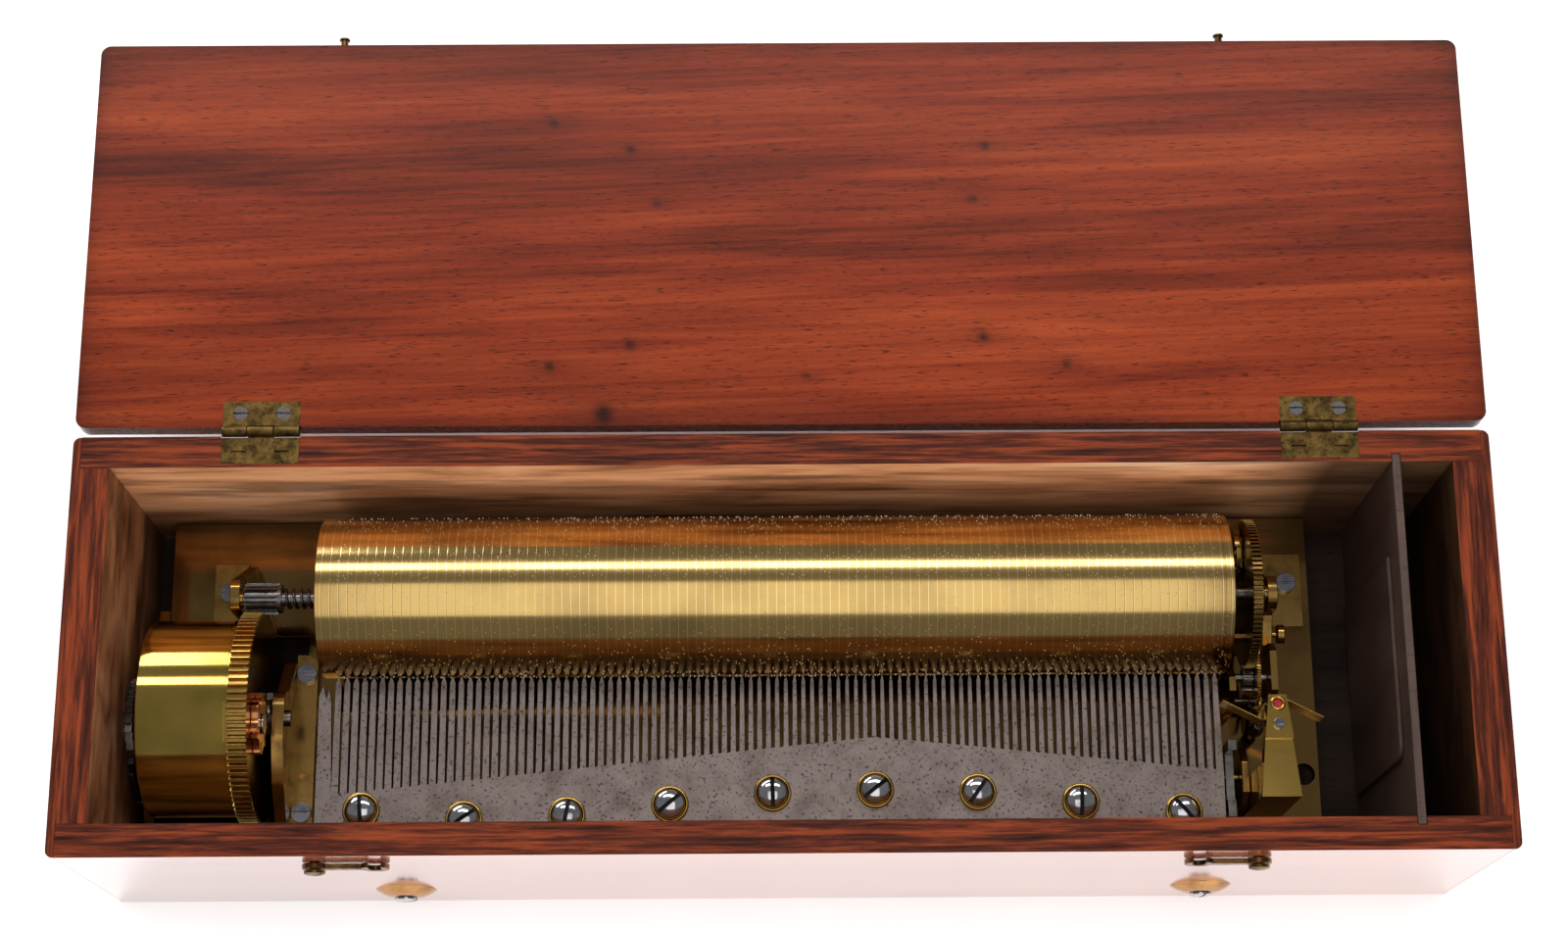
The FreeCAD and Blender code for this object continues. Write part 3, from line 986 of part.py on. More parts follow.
thread = [(0, 0), (0, size.worm_radius - size.worm_groove)]
for ring in range(int(size.worm_length / size.worm_pitch)):
    start = ring * size.worm_pitch
    thread += [(start + 0.25 * size.worm_pitch, size.worm_radius - size.worm_groove),
               (start + 0.4 * size.worm_pitch, size.worm_radius),
               (start + 0.6 * size.worm_pitch, size.worm_radius),
               (start + 0.75 * size.worm_pitch, size.worm_radius - size.worm_groove)]
thread += [(size.worm_length, size.worm_radius - size.worm_groove), (size.worm_length, 0)]
WORM = ("worm_across", "worm_back")
node("endless_screw", joined("endless_screw_solids", [
    solid("endless_thread", lathe_shape("z", thread), WORM + ("second_height - worm_length / 2",)),
    rod("fly_shaft_solid", "z", WORM, "fly_shaft", "bed_top + 0.6", "governor_top - governor_arm - 0.3"),
    rod("fly_pivots", "z", WORM, "fly_pivot", "bed_under + 0.5", "governor_top - 0.1")]))

fly = Part.makeCylinder(size.fly_hub, size.fly_tall)
for sign in (1, -1):
    blade = Part.makeBox(size.fly_reach - 1.0, size.fly_sheet, size.fly_tall, Vector(
        1.0 if sign > 0 else -size.fly_reach, sign * size.fly_offset - size.fly_sheet / 2, 0))
    arm = Part.makeBox(size.fly_arm, size.fly_offset, 1.2, Vector(
        1.0 if sign > 0 else -1.0 - size.fly_arm, 0 if sign > 0 else -size.fly_offset, size.fly_tall * 0.6))
    foot = Part.makeBox(2.0 + size.fly_arm, 1.2, 1.2, Vector(
        -1.0 if sign > 0 else -1.0 - size.fly_arm, -0.6, size.fly_tall * 0.6))
    fly = fly.fuse([blade, arm, foot])
fly = fly.cut(Part.makeCylinder(size.fly_shaft, 3 * size.fly_tall, Vector(0, 0, -size.fly_tall)))
fly.rotate(Vector(0, 0, 0), Vector(0, 0, 1), size.fly_turn)
node("fly", solid("fly_sheet_solid", fly, WORM + ("fly_low",)))


def tapered(label, front, front_half, back, back_half, low, high):
    """A plate that narrows towards the back, centred over the endless screw."""
    return plate(label, "XY", [
        ("worm_across - %s" % front_half, front), ("worm_across + %s" % front_half, front),
        ("worm_across + %s" % back_half, back), ("worm_across - %s" % back_half, back)], low, high)


arm = tapered("governor_arm_plate", "governor_front", "governor_wide", "governor_tip", "governor_narrow",
              "governor_top - governor_arm", "governor_top")
column = block("governor_column_solid", ("worm_across - governor_wide", "governor_front", "bed_top"),
               ("worm_across + governor_wide", "governor_back", "governor_top - governor_arm"))
governor = joined("governor_cock_solids", [arm, column])
pivot_hole = rod("fly_pivot_hole", "z", WORM, "fly_pivot + fit", "governor_top - 2 * governor_arm",
                 "governor_top + 1")
node("governor_cock", cut("governor_cock_cut", cut("governor_cock_bored", governor, [pivot_hole]),
                          [frame_body]))
cap = tapered("cap_plate_board", "cap_front", "cap_wide", "governor_tip", "governor_narrow",
              "governor_top", "governor_top + cap_plate")
stone = rod("endstone_solid", "z", WORM, "endstone_radius", "governor_top", "governor_top + endstone_thick")
node("cock_cap", cut("cock_cap_cut", cut("cock_cap_bored", cap, [
    rod("endstone_seat", "z", WORM, "endstone_radius", "governor_top - 1",
        "governor_top + 2 * cap_plate")]), [frame_body]))
node("endstone", stone)

# ---- stop lever ---------------------------------------------------------------------------------

PIVOT = ("lever_pivot_back", "lever_pivot_height")
bracket = plate("bracket_board", "YZ", [
    ("bracket_front", "bed_top"), ("bracket_back", "bed_top"), ("bracket_back", "bracket_top - 5"),
    ("bracket_back - 5", "bracket_top"), ("bracket_front + 4", "bracket_top"),
    ("bracket_front", "bracket_top - 8")],
    "bracket_left", "bracket_left + bracket_thick")
node("lever_bracket", joined("lever_bracket_solids", [bracket, rod(
    "lever_pin", "x", PIVOT, "lever_pivot_radius", "lever_left - 0.6", "bracket_left")]))
lever = plate("lever_board", "YZ", [
    ("lever_front", "lever_pivot_height - lever_half"),
    ("lever_pivot_back", "lever_pivot_height - lever_half - 1"),
    ("lever_back", "lever_pivot_height - lever_half + 1"), ("lever_back", "lever_pivot_height + lever_rise"),
    ("lever_back - lever_tail", "lever_pivot_height + lever_rise"),
    ("lever_back - lever_tail", "lever_pivot_height + lever_half"),
    ("lever_front + 5", "lever_pivot_height + lever_half"),
    ("lever_front + 5", "lever_pivot_height + lever_half + 2"),
    ("lever_front", "lever_pivot_height + lever_half + 2")], "lever_left", "lever_left + lever_thick")
node("stop_lever", cut("stop_lever_cut", lever, [
    rod("lever_bore", "x", PIVOT, "lever_pivot_radius + fit", "lever_left - 1",
        "lever_left + lever_thick + 1")]))

# ---- build, check and export --------------------------------------------------------------------

doc.recompute()
for thing in doc.Objects:
    if "Invalid" in thing.State or "Error" in thing.State:
        raise RuntimeError("%s (%s) did not build" % (thing.Name, thing.Label))
os.makedirs("parts", exist_ok=True)
for thing in NODES:
    if thing.Shape.isNull() or not thing.Shape.isValid() or not thing.Shape.Solids:
        raise RuntimeError("%s has no valid solid" % thing.Label)
    thing.Shape.exportStep("parts/%s.step" % thing.Label)
print("nodes", len(NODES))
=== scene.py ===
"""Looks of a key-wound cylinder music box: mahogany case, brass movement, steel comb and pinned cylinder."""

import json
import logging
import math
from dataclasses import dataclass
from enum import Enum
from typing import Any, Sequence

import bmesh
import bpy
import numpy as np
from mathutils import Matrix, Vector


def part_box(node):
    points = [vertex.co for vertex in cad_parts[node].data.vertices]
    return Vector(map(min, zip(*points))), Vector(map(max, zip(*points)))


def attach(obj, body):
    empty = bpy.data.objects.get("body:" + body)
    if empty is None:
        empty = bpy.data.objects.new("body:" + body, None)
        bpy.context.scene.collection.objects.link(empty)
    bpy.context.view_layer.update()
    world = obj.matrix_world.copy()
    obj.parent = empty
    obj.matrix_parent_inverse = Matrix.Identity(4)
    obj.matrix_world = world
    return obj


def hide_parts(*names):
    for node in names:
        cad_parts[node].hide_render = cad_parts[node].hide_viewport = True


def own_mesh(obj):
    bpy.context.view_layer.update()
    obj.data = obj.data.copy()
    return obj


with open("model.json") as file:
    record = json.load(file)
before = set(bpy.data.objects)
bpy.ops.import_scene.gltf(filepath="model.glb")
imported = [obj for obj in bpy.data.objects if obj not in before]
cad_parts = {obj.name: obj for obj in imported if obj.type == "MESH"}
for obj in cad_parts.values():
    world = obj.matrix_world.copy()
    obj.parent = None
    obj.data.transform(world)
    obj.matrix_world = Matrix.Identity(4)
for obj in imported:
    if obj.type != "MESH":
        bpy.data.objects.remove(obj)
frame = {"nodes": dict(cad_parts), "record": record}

MM = 0.001
LOG = logging.getLogger("music_box")
Array = np.ndarray
Solid = tuple[Array, Array]
Colour = tuple[float, float, float, float]
Tree = bpy.types.NodeTree
Socket = bpy.types.NodeSocket
Node = bpy.types.Node
Material = bpy.types.Material
Piece = bpy.types.Object

MERGE_M = 1e-7
SLIVER_M = 1e-8
CAD_MERGE_M = 2e-6
FLAT_DEGREES = 0.6
BROKEN_DEGREES = 38.0
LONG_SIDE_MM = 20.0


class Axis(Enum):
    """The directions that a piece may stand along, each with its two sideways directions."""

    X = ((1.0, 0.0, 0.0), (0.0, 1.0, 0.0), (0.0, 0.0, 1.0))
    Y = ((0.0, 1.0, 0.0), (0.0, 0.0, 1.0), (1.0, 0.0, 0.0))
    Z = ((0.0, 0.0, 1.0), (1.0, 0.0, 0.0), (0.0, 1.0, 0.0))
    FRONT = ((0.0, -1.0, 0.0), (1.0, 0.0, 0.0), (0.0, 0.0, 1.0))


# ---- colours and shader nodes --------------------------------------------------------------------


def linear(code: str) -> Colour:
    """Turns an sRGB hex colour into linear light.

    Args:
        code: six hex digits, such as "b5532c".

    Returns:
        Red, green, blue and an alpha of 1.
    """
    parts = (int(code[k:k + 2], 16) / 255 for k in (0, 2, 4))
    red, green, blue = (c / 12.92 if c <= 0.04045 else ((c + 0.055) / 1.055) ** 2.4 for c in parts)
    return red, green, blue, 1.0


def add_node(tree: Tree, kind: str, inputs: dict[Any, Any] | None = None,
             **settings: Any) -> Node:
    """Adds one node with its settings, input values and links.

    Args:
        tree: the material's node tree.
        kind: the node's type name.
        inputs: value or output socket for each named or numbered input.
        settings: the node's own properties.

    Returns:
        The new node.
    """
    node = tree.nodes.new(kind)
    for name, value in settings.items():
        setattr(node, name, value)
    for name, value in (inputs or {}).items():
        if isinstance(value, Socket):
            tree.links.new(value, node.inputs[name])
        else:
            node.inputs[name].default_value = value
    return node


def add_ramp(tree: Tree, source: Socket,
             stops: Sequence[tuple[float, str]]) -> Socket:
    """Adds a colour ramp over a value.

    Args:
        tree: the material's node tree.
        source: the value that the ramp reads.
        stops: place and hex colour of each stop, in order.

    Returns:
        The ramp's colour output.
    """
    ramp = add_node(tree, "ShaderNodeValToRGB", {"Fac": source})
    bands = ramp.color_ramp.elements
    while len(bands) < len(stops):
        bands.new(0.5)
    for band, (place, code) in zip(bands, stops):
        band.position = place
        band.color = linear(code)
    return ramp.outputs["Color"]


def start_material(name: str) -> tuple[Material, Tree, Node, Socket]:
    """Starts a material.

    Args:
        name: the material's name.

    Returns:
        The material, its node tree, its Principled shader and its Object coordinates.
    """
    material = bpy.data.materials.new(name)
    material.use_nodes = True
    tree = material.node_tree
    tree.nodes.clear()
    shader = add_node(tree, "ShaderNodeBsdfPrincipled")
    add_node(tree, "ShaderNodeOutputMaterial", {"Surface": shader.outputs["BSDF"]})
    place = add_node(tree, "ShaderNodeTexCoord").outputs["Object"]
    return material, tree, shader, place


def stretched_noise(tree: Tree, place: Socket, size_mm: Sequence[float], detail: float = 3.0,
                    roughness: float = 0.5, distortion: float = 0.0) -> Socket:
    """Noise whose marks are about size_mm long, wide and high.

    Args:
        tree: the material's node tree.
        place: coordinates in metres.
        size_mm: a mark's size along X, Y and Z.
        detail: octaves of finer noise.
        roughness: how strong the finer octaves are.
        distortion: how much the noise bends itself.

    Returns:
        The noise value, from 0 to 1.
    """
    scale = [1.0 / (side * MM) for side in size_mm]
    spread = add_node(tree, "ShaderNodeMapping", {"Vector": place, "Scale": scale}).outputs["Vector"]
    noise = add_node(tree, "ShaderNodeTexNoise", {"Vector": spread, "Scale": 1.0, "Detail": detail,
                                                  "Roughness": roughness, "Distortion": distortion})
    return noise.outputs["Fac"]


def remap(tree: Tree, value: Socket, old: Sequence[float],
          new: Sequence[float]) -> Socket:
    """Maps a value from one range to another and holds it there."""
    return add_node(tree, "ShaderNodeMapRange", {"Value": value, "From Min": old[0], "From Max": old[1],
                                                 "To Min": new[0], "To Max": new[1]}).outputs["Result"]


def blend_colours(tree: Tree, share: Any, first: Any, second: Any,
                  how: str = "MIX") -> Socket:
    """Mixes two colours by a share."""
    mix = add_node(tree, "ShaderNodeMix", {0: share, 6: first, 7: second}, data_type="RGBA", blend_type=how)
    return mix.outputs[2]


def maths(tree: Tree, how: str, first: Any, second: Any = 0.0) -> Socket:
    """One sum on one or two values."""
    return add_node(tree, "ShaderNodeMath", {0: first, 1: second}, operation=how).outputs["Value"]


# ---- finishes ------------------------------------------------------------------------------------


@dataclass(frozen=True)
class Mahogany:
    """Mahogany, planed, stained and polished: long brown streaks, and short dark pores along the grain.

    grain and pores are a mark's size along X, Y and Z in millimetres. line_size is a fine line's length and
    width as shares of the grain's. shares say how much the wide bands, the streaks and the fine lines count.
    """

    name: str
    dark: str
    warm: str
    pale: str
    pore: str
    grain: tuple[float, float, float] = (150.0, 9.0, 9.0)
    pores: tuple[float, float, float] = (3.2, 0.35, 0.35)
    roughness: float = 0.32
    coat: float = 0.35
    shine: float = 0.4
    lean: float = -0.035
    log_place: float = 0.0
    toned: bool = False
    tone_colour: str = "1d0c08"
    band_size: float = 2.6
    line_size: tuple[float, float] = (0.35, 0.13)
    shares: tuple[float, float, float] = (0.42, 0.38, 0.2)
    stops: tuple[float, float, float] = (0.36, 0.48, 0.62)
    pore_range: tuple[float, float] = (0.37, 0.28)
    pore_darkness: float = 0.7
    pore_depth_mm: float = 0.02
    ior: float = 1.5
    coat_roughness: float = 0.12

    def colour(self, tree: Tree, place: Socket) -> Socket:
        """The wood's own colour: bands, streaks and fine lines through one ramp, then the pores over it.

        Args:
            tree: the material's node tree.
            place: Object coordinates in metres.

        Returns:
            The colour.
        """
        board = add_node(tree, "ShaderNodeMapping", {"Vector": place, "Rotation": (0.0, 0.0, self.lean),
                                                     "Location": (self.log_place, self.log_place, 0.0)})
        place = board.outputs["Vector"]
        long, wide = self.line_size
        fine = [side * (long if side > LONG_SIDE_MM else wide) for side in self.grain]
        bands = stretched_noise(tree, place, [side * self.band_size for side in self.grain], 2.0, 0.5, 0.6)
        streaks = stretched_noise(tree, place, self.grain, 4.0, 0.6, 0.7)
        lines = stretched_noise(tree, place, fine, 3.0, 0.6, 0.2)
        band_share, streak_share, line_share = self.shares
        value = add_node(tree, "ShaderNodeMath",
                         {0: bands, 1: band_share, 2: maths(tree, "MULTIPLY", streaks, streak_share)},
                         operation="MULTIPLY_ADD").outputs["Value"]
        value = maths(tree, "ADD", value, maths(tree, "MULTIPLY", lines, line_share))
        wood = add_ramp(tree, value, tuple(zip(self.stops, (self.dark, self.warm, self.pale))))
        open_pores = stretched_noise(tree, place, self.pores, 1.0, 0.4)
        marks = remap(tree, open_pores, self.pore_range, (0.0, self.pore_darkness))
        wood = blend_colours(tree, marks, wood, linear(self.pore))
        if self.toned:
            tone = add_node(tree, "ShaderNodeAttribute", attribute_name="tone").outputs["Fac"]
            wood = blend_colours(tree, tone, wood, linear(self.tone_colour))
        return wood

    def material(self) -> Material:
        """Builds the material.

        Returns:
            The material, with its colour and its polish.
        """
        material, tree, shader, place = start_material(self.name)
        tree.links.new(self.colour(tree, place), shader.inputs["Base Color"])
        self.polish(tree, shader, place)
        return material

    def polish(self, tree: Tree, shader: Node, place: Socket) -> None:
        """Adds the shine: open pores dull it a little and give a shallow relief.

        Args:
            tree: the material's node tree.
            shader: its Principled shader.
            place: Object coordinates in metres.
        """
        pores = stretched_noise(tree, place, self.pores, 2.0, 0.5)
        rough = remap(tree, pores, (0.25, 0.6), (self.roughness + 0.1, self.roughness))
        tree.links.new(rough, shader.inputs["Roughness"])
        bump = add_node(tree, "ShaderNodeBump", {"Height": pores, "Strength": 0.1,
                                                 "Distance": self.pore_depth_mm * MM})
        tree.links.new(bump.outputs["Normal"], shader.inputs["Normal"])
        shader.inputs["IOR"].default_value = self.ior
        shader.inputs["Specular IOR Level"].default_value = self.shine
        shader.inputs["Coat Weight"].default_value = self.coat
        shader.inputs["Coat Roughness"].default_value = self.coat_roughness


@dataclass(frozen=True)
class CaseMahogany(Mahogany):
    """The case's boards: varnished outside, bare inside with painted shade, and worn dark along the rim.

    inside is half the inside's width and depth, and rim the rim's height, in metres. Painted shade darkens
    the inner faces over the ranges of height, depth and width that shaded_heights, near_range and shaded_bay
    give, also in metres.
    worn_mm is a worn mark's length and width.
    """

    inside: tuple[float, float] = (0.1938, 0.0516)
    rim: float = 0.088
    rim_depth_mm: float = 4.0
    skin_mm: float = 0.6
    inner_dark: str = "4a2c1c"
    inner_warm: str = "93603f"
    inner_pale: str = "bb875e"
    painted_shade: str = "100a07"
    smoke: str = "24140d"
    near: float = 0.0
    shaded_heights: tuple[float, float] = (0.018, 0.05)
    near_range: tuple[float, float] = (-0.02, 0.03)
    shaded_bay: tuple[float, float] = (0.135, 0.16)
    rim_black: str = "220c07"
    rim_dark: str = "42190c"
    rim_warm: str = "743014"
    worn_mm: tuple[float, float] = (32.0, 1.7)
    dulled: float = 0.26
    bare_shine: tuple[float, float] = (0.5, 0.12)
    varnish_ior: float = 2.0

    def bare_wood(self, tree: Tree, place: Socket, axes: Node) -> Socket:
        """The inside's colour: sawn wood with painted shade low down, on the front board's inside and in the
        right-hand bay, and with smoke stains.

        Args:
            tree: the material's node tree.
            place: Object coordinates in metres.
            axes: the node that parts them.

        Returns:
            The colour.
        """
        sawn = stretched_noise(tree, place, (70.0, 26.0, 14.0), 5.0, 0.62, 0.5)
        bare = add_ramp(tree, sawn, ((0.28, self.inner_dark), (0.5, self.inner_warm),
                                     (0.72, self.inner_pale)))
        # Painted shade: the inside darkens towards the bottom, on the front board's inside (scaled by near)
        # and in the right-hand bay.
        low = remap(tree, axes.outputs["Z"], self.shaded_heights, (0.8, 0.0))
        near = remap(tree, axes.outputs["Y"], self.near_range, (0.7, 0.0))
        shaded_bay = remap(tree, axes.outputs["X"], self.shaded_bay, (0.0, 0.88))
        deep = maths(tree, "MAXIMUM", maths(tree, "MULTIPLY", near, self.near), shaded_bay)
        bare = blend_colours(tree, maths(tree, "MAXIMUM", low, deep), bare, linear(self.painted_shade))
        clouds = stretched_noise(tree, place, (60.0, 60.0, 8.0), 3.0)
        stain = remap(tree, clouds, (0.5, 0.66), (0.0, 0.6))
        return blend_colours(tree, stain, bare, linear(self.smoke))

    def material(self) -> Material:
        """Builds the material, told apart by the inside's edges and by faces that look up.

        Returns:
            The material, varnished outside and bare inside and on the rim.
        """
        material, tree, shader, place = start_material(self.name)
        outer = self.colour(tree, place)
        axes = add_node(tree, "ShaderNodeSeparateXYZ", {"Vector": place})
        skin = self.skin_mm * MM
        reach = [maths(tree, "DIVIDE", maths(tree, "ABSOLUTE", axes.outputs[side]), half + skin)
                 for side, half in zip("XY", self.inside)]
        within = maths(tree, "LESS_THAN", maths(tree, "MAXIMUM", *reach), 1.0)
        bare = self.bare_wood(tree, place, axes)
        normal = add_node(tree, "ShaderNodeNewGeometry").outputs["Normal"]
        up = add_node(tree, "ShaderNodeSeparateXYZ", {"Vector": normal}).outputs["Z"]
        high = maths(tree, "GREATER_THAN", axes.outputs["Z"], self.rim - self.rim_depth_mm * MM)
        top = maths(tree, "MULTIPLY", remap(tree, up, (0.35, 0.8), (0.0, 1.0)), high)
        long, wide = self.worn_mm
        marks = [wide if side < LONG_SIDE_MM else long for side in self.grain]
        worn = add_ramp(tree, stretched_noise(tree, place, marks, 5.0, 0.7, 0.3),
                        ((0.34, self.rim_black), (0.47, self.rim_dark), (0.63, self.rim_warm)))
        mixed = blend_colours(tree, within, outer, bare)
        mixed = blend_colours(tree, top, mixed, worn)
        tree.links.new(mixed, shader.inputs["Base Color"])
        self.polish(tree, shader, place)
        bare_share = maths(tree, "MAXIMUM", within, top)
        dull = add_node(tree, "ShaderNodeMath", {0: bare_share, 1: self.dulled, 2: self.roughness},
                        operation="MULTIPLY_ADD")
        tree.links.new(dull.outputs["Value"], shader.inputs["Roughness"])
        shine = remap(tree, bare_share, (0.0, 1.0), self.bare_shine)
        tree.links.new(shine, shader.inputs["Specular IOR Level"])
        varnish = maths(tree, "MULTIPLY", maths(tree, "SUBTRACT", 1.0, bare_share), self.coat)
        tree.links.new(varnish, shader.inputs["Coat Weight"])
        shader.inputs["Coat IOR"].default_value = self.varnish_ior
        return material


@dataclass(frozen=True)
class Metal:
    """A worked metal: its tarnish in soft patches, fine scratches and a shallow relief.

    patches is the range of noise over which clean turns to tarnished, and fleck_share the range for flecks.
    dulling says how much the tarnish and the scratches roughen the surface.
    """

    name: str
    clean: str
    tarnished: str
    patch_mm: float = 14.0
    patches: tuple[float, float] = (0.42, 0.75)
    smooth: float = 0.12
    dull: float = 0.28
    scratch_mm: tuple[float, float, float] = (6.0, 0.25, 0.25)
    relief_mm: float = 0.01
    fleck: str = ""
    fleck_mm: float = 1.2
    fleck_share: tuple[float, float] = (0.66, 0.72)
    fleck_strength: float = 0.85
    dulling: tuple[float, float] = (0.6, 0.4)
    relief_strength: float = 0.25

    def material(self) -> Material:
        """Builds the material.

        Returns:
            The material, with its tarnish, its flecks if it has them, and its relief.
        """
        material, tree, shader, place = start_material(self.name)
        patches = stretched_noise(tree, place, (self.patch_mm,) * 3, 5.0, 0.6)
        tarnish = remap(tree, patches, self.patches, (0.0, 1.0))
        colour = blend_colours(tree, tarnish, linear(self.clean), linear(self.tarnished))
        scratches = stretched_noise(tree, place, self.scratch_mm, 3.0, 0.6)
        if self.fleck:
            dots = stretched_noise(tree, place, (self.fleck_mm,) * 3, 3.0, 0.7)
            share = remap(tree, dots, self.fleck_share, (0.0, self.fleck_strength))
            colour = blend_colours(tree, share, colour, linear(self.fleck))
        tree.links.new(colour, shader.inputs["Base Color"])
        shader.inputs["Metallic"].default_value = 1.0
        marks = zip((tarnish, scratches), self.dulling)
        worn = [maths(tree, "MULTIPLY", mark, share) for mark, share in marks]
        rough = remap(tree, maths(tree, "ADD", *worn), (0.1, 0.8), (self.smooth, self.dull))
        tree.links.new(rough, shader.inputs["Roughness"])
        self.relief(tree, shader, place, scratches)
        return material

    def relief(self, tree: Tree, shader: Node, place: Socket, scratches: Socket) -> None:
        """Adds the scratches' relief.

        Args:
            tree: the material's node tree.
            shader: its Principled shader.
            place: Object coordinates in metres.
            scratches: the scratches' height.
        """
        bump = add_node(tree, "ShaderNodeBump", {"Height": scratches, "Strength": self.relief_strength,
                                                 "Distance": self.relief_mm * MM})
        tree.links.new(bump.outputs["Normal"], shader.inputs["Normal"])


@dataclass(frozen=True)
class TurnedMetal(Metal):
    """Metal turned in a lathe about an axis along X: fine rings, and scribed lines at a pitch.

    round_mm is so long that a ring doesn't change round the turn.
    """

    relief_strength: float = 0.35
    ring_mm: float = 0.7
    round_mm: float = 4000.0
    line_pitch_mm: float = 0.0
    line_start_mm: float = 0.0
    line_width_mm: float = 0.34
    line_colour: str = "fff0b4"
    line_strength: float = 0.7

    def relief(self, tree: Tree, shader: Node, place: Socket, scratches: Socket) -> None:
        """Adds the rings: noise along X alone, and a narrow groove at every pitch.

        Args:
            tree: the material's node tree.
            shader: its Principled shader.
            place: Object coordinates in metres.
            scratches: not read here, as the rings hide them.
        """
        axes = add_node(tree, "ShaderNodeSeparateXYZ", {"Vector": place})
        rings = stretched_noise(tree, place, (self.ring_mm, self.round_mm, self.round_mm), 3.0, 0.7)
        height = maths(tree, "MULTIPLY", rings, 0.5)
        if self.line_pitch_mm:
            steps = maths(tree, "DIVIDE", maths(tree, "SUBTRACT", axes.outputs["X"], self.line_start_mm * MM),
                          self.line_pitch_mm * MM)
            off = maths(tree, "ABSOLUTE", maths(tree, "SUBTRACT", maths(tree, "FRACT", steps), 0.5))
            width = self.line_width_mm / self.line_pitch_mm / 2
            groove = remap(tree, off, (0.5 - width, 0.5), (0.0, 1.0))
            height = maths(tree, "SUBTRACT", height, groove)
            old = shader.inputs["Base Color"].links[0].from_socket
            share = maths(tree, "MULTIPLY", groove, self.line_strength)
            tinted = blend_colours(tree, share, old, linear(self.line_colour))
            tree.links.new(tinted, shader.inputs["Base Color"])
        bump = add_node(tree, "ShaderNodeBump", {"Height": height, "Strength": self.relief_strength,
                                                 "Distance": self.relief_mm * MM})
        tree.links.new(bump.outputs["Normal"], shader.inputs["Normal"])


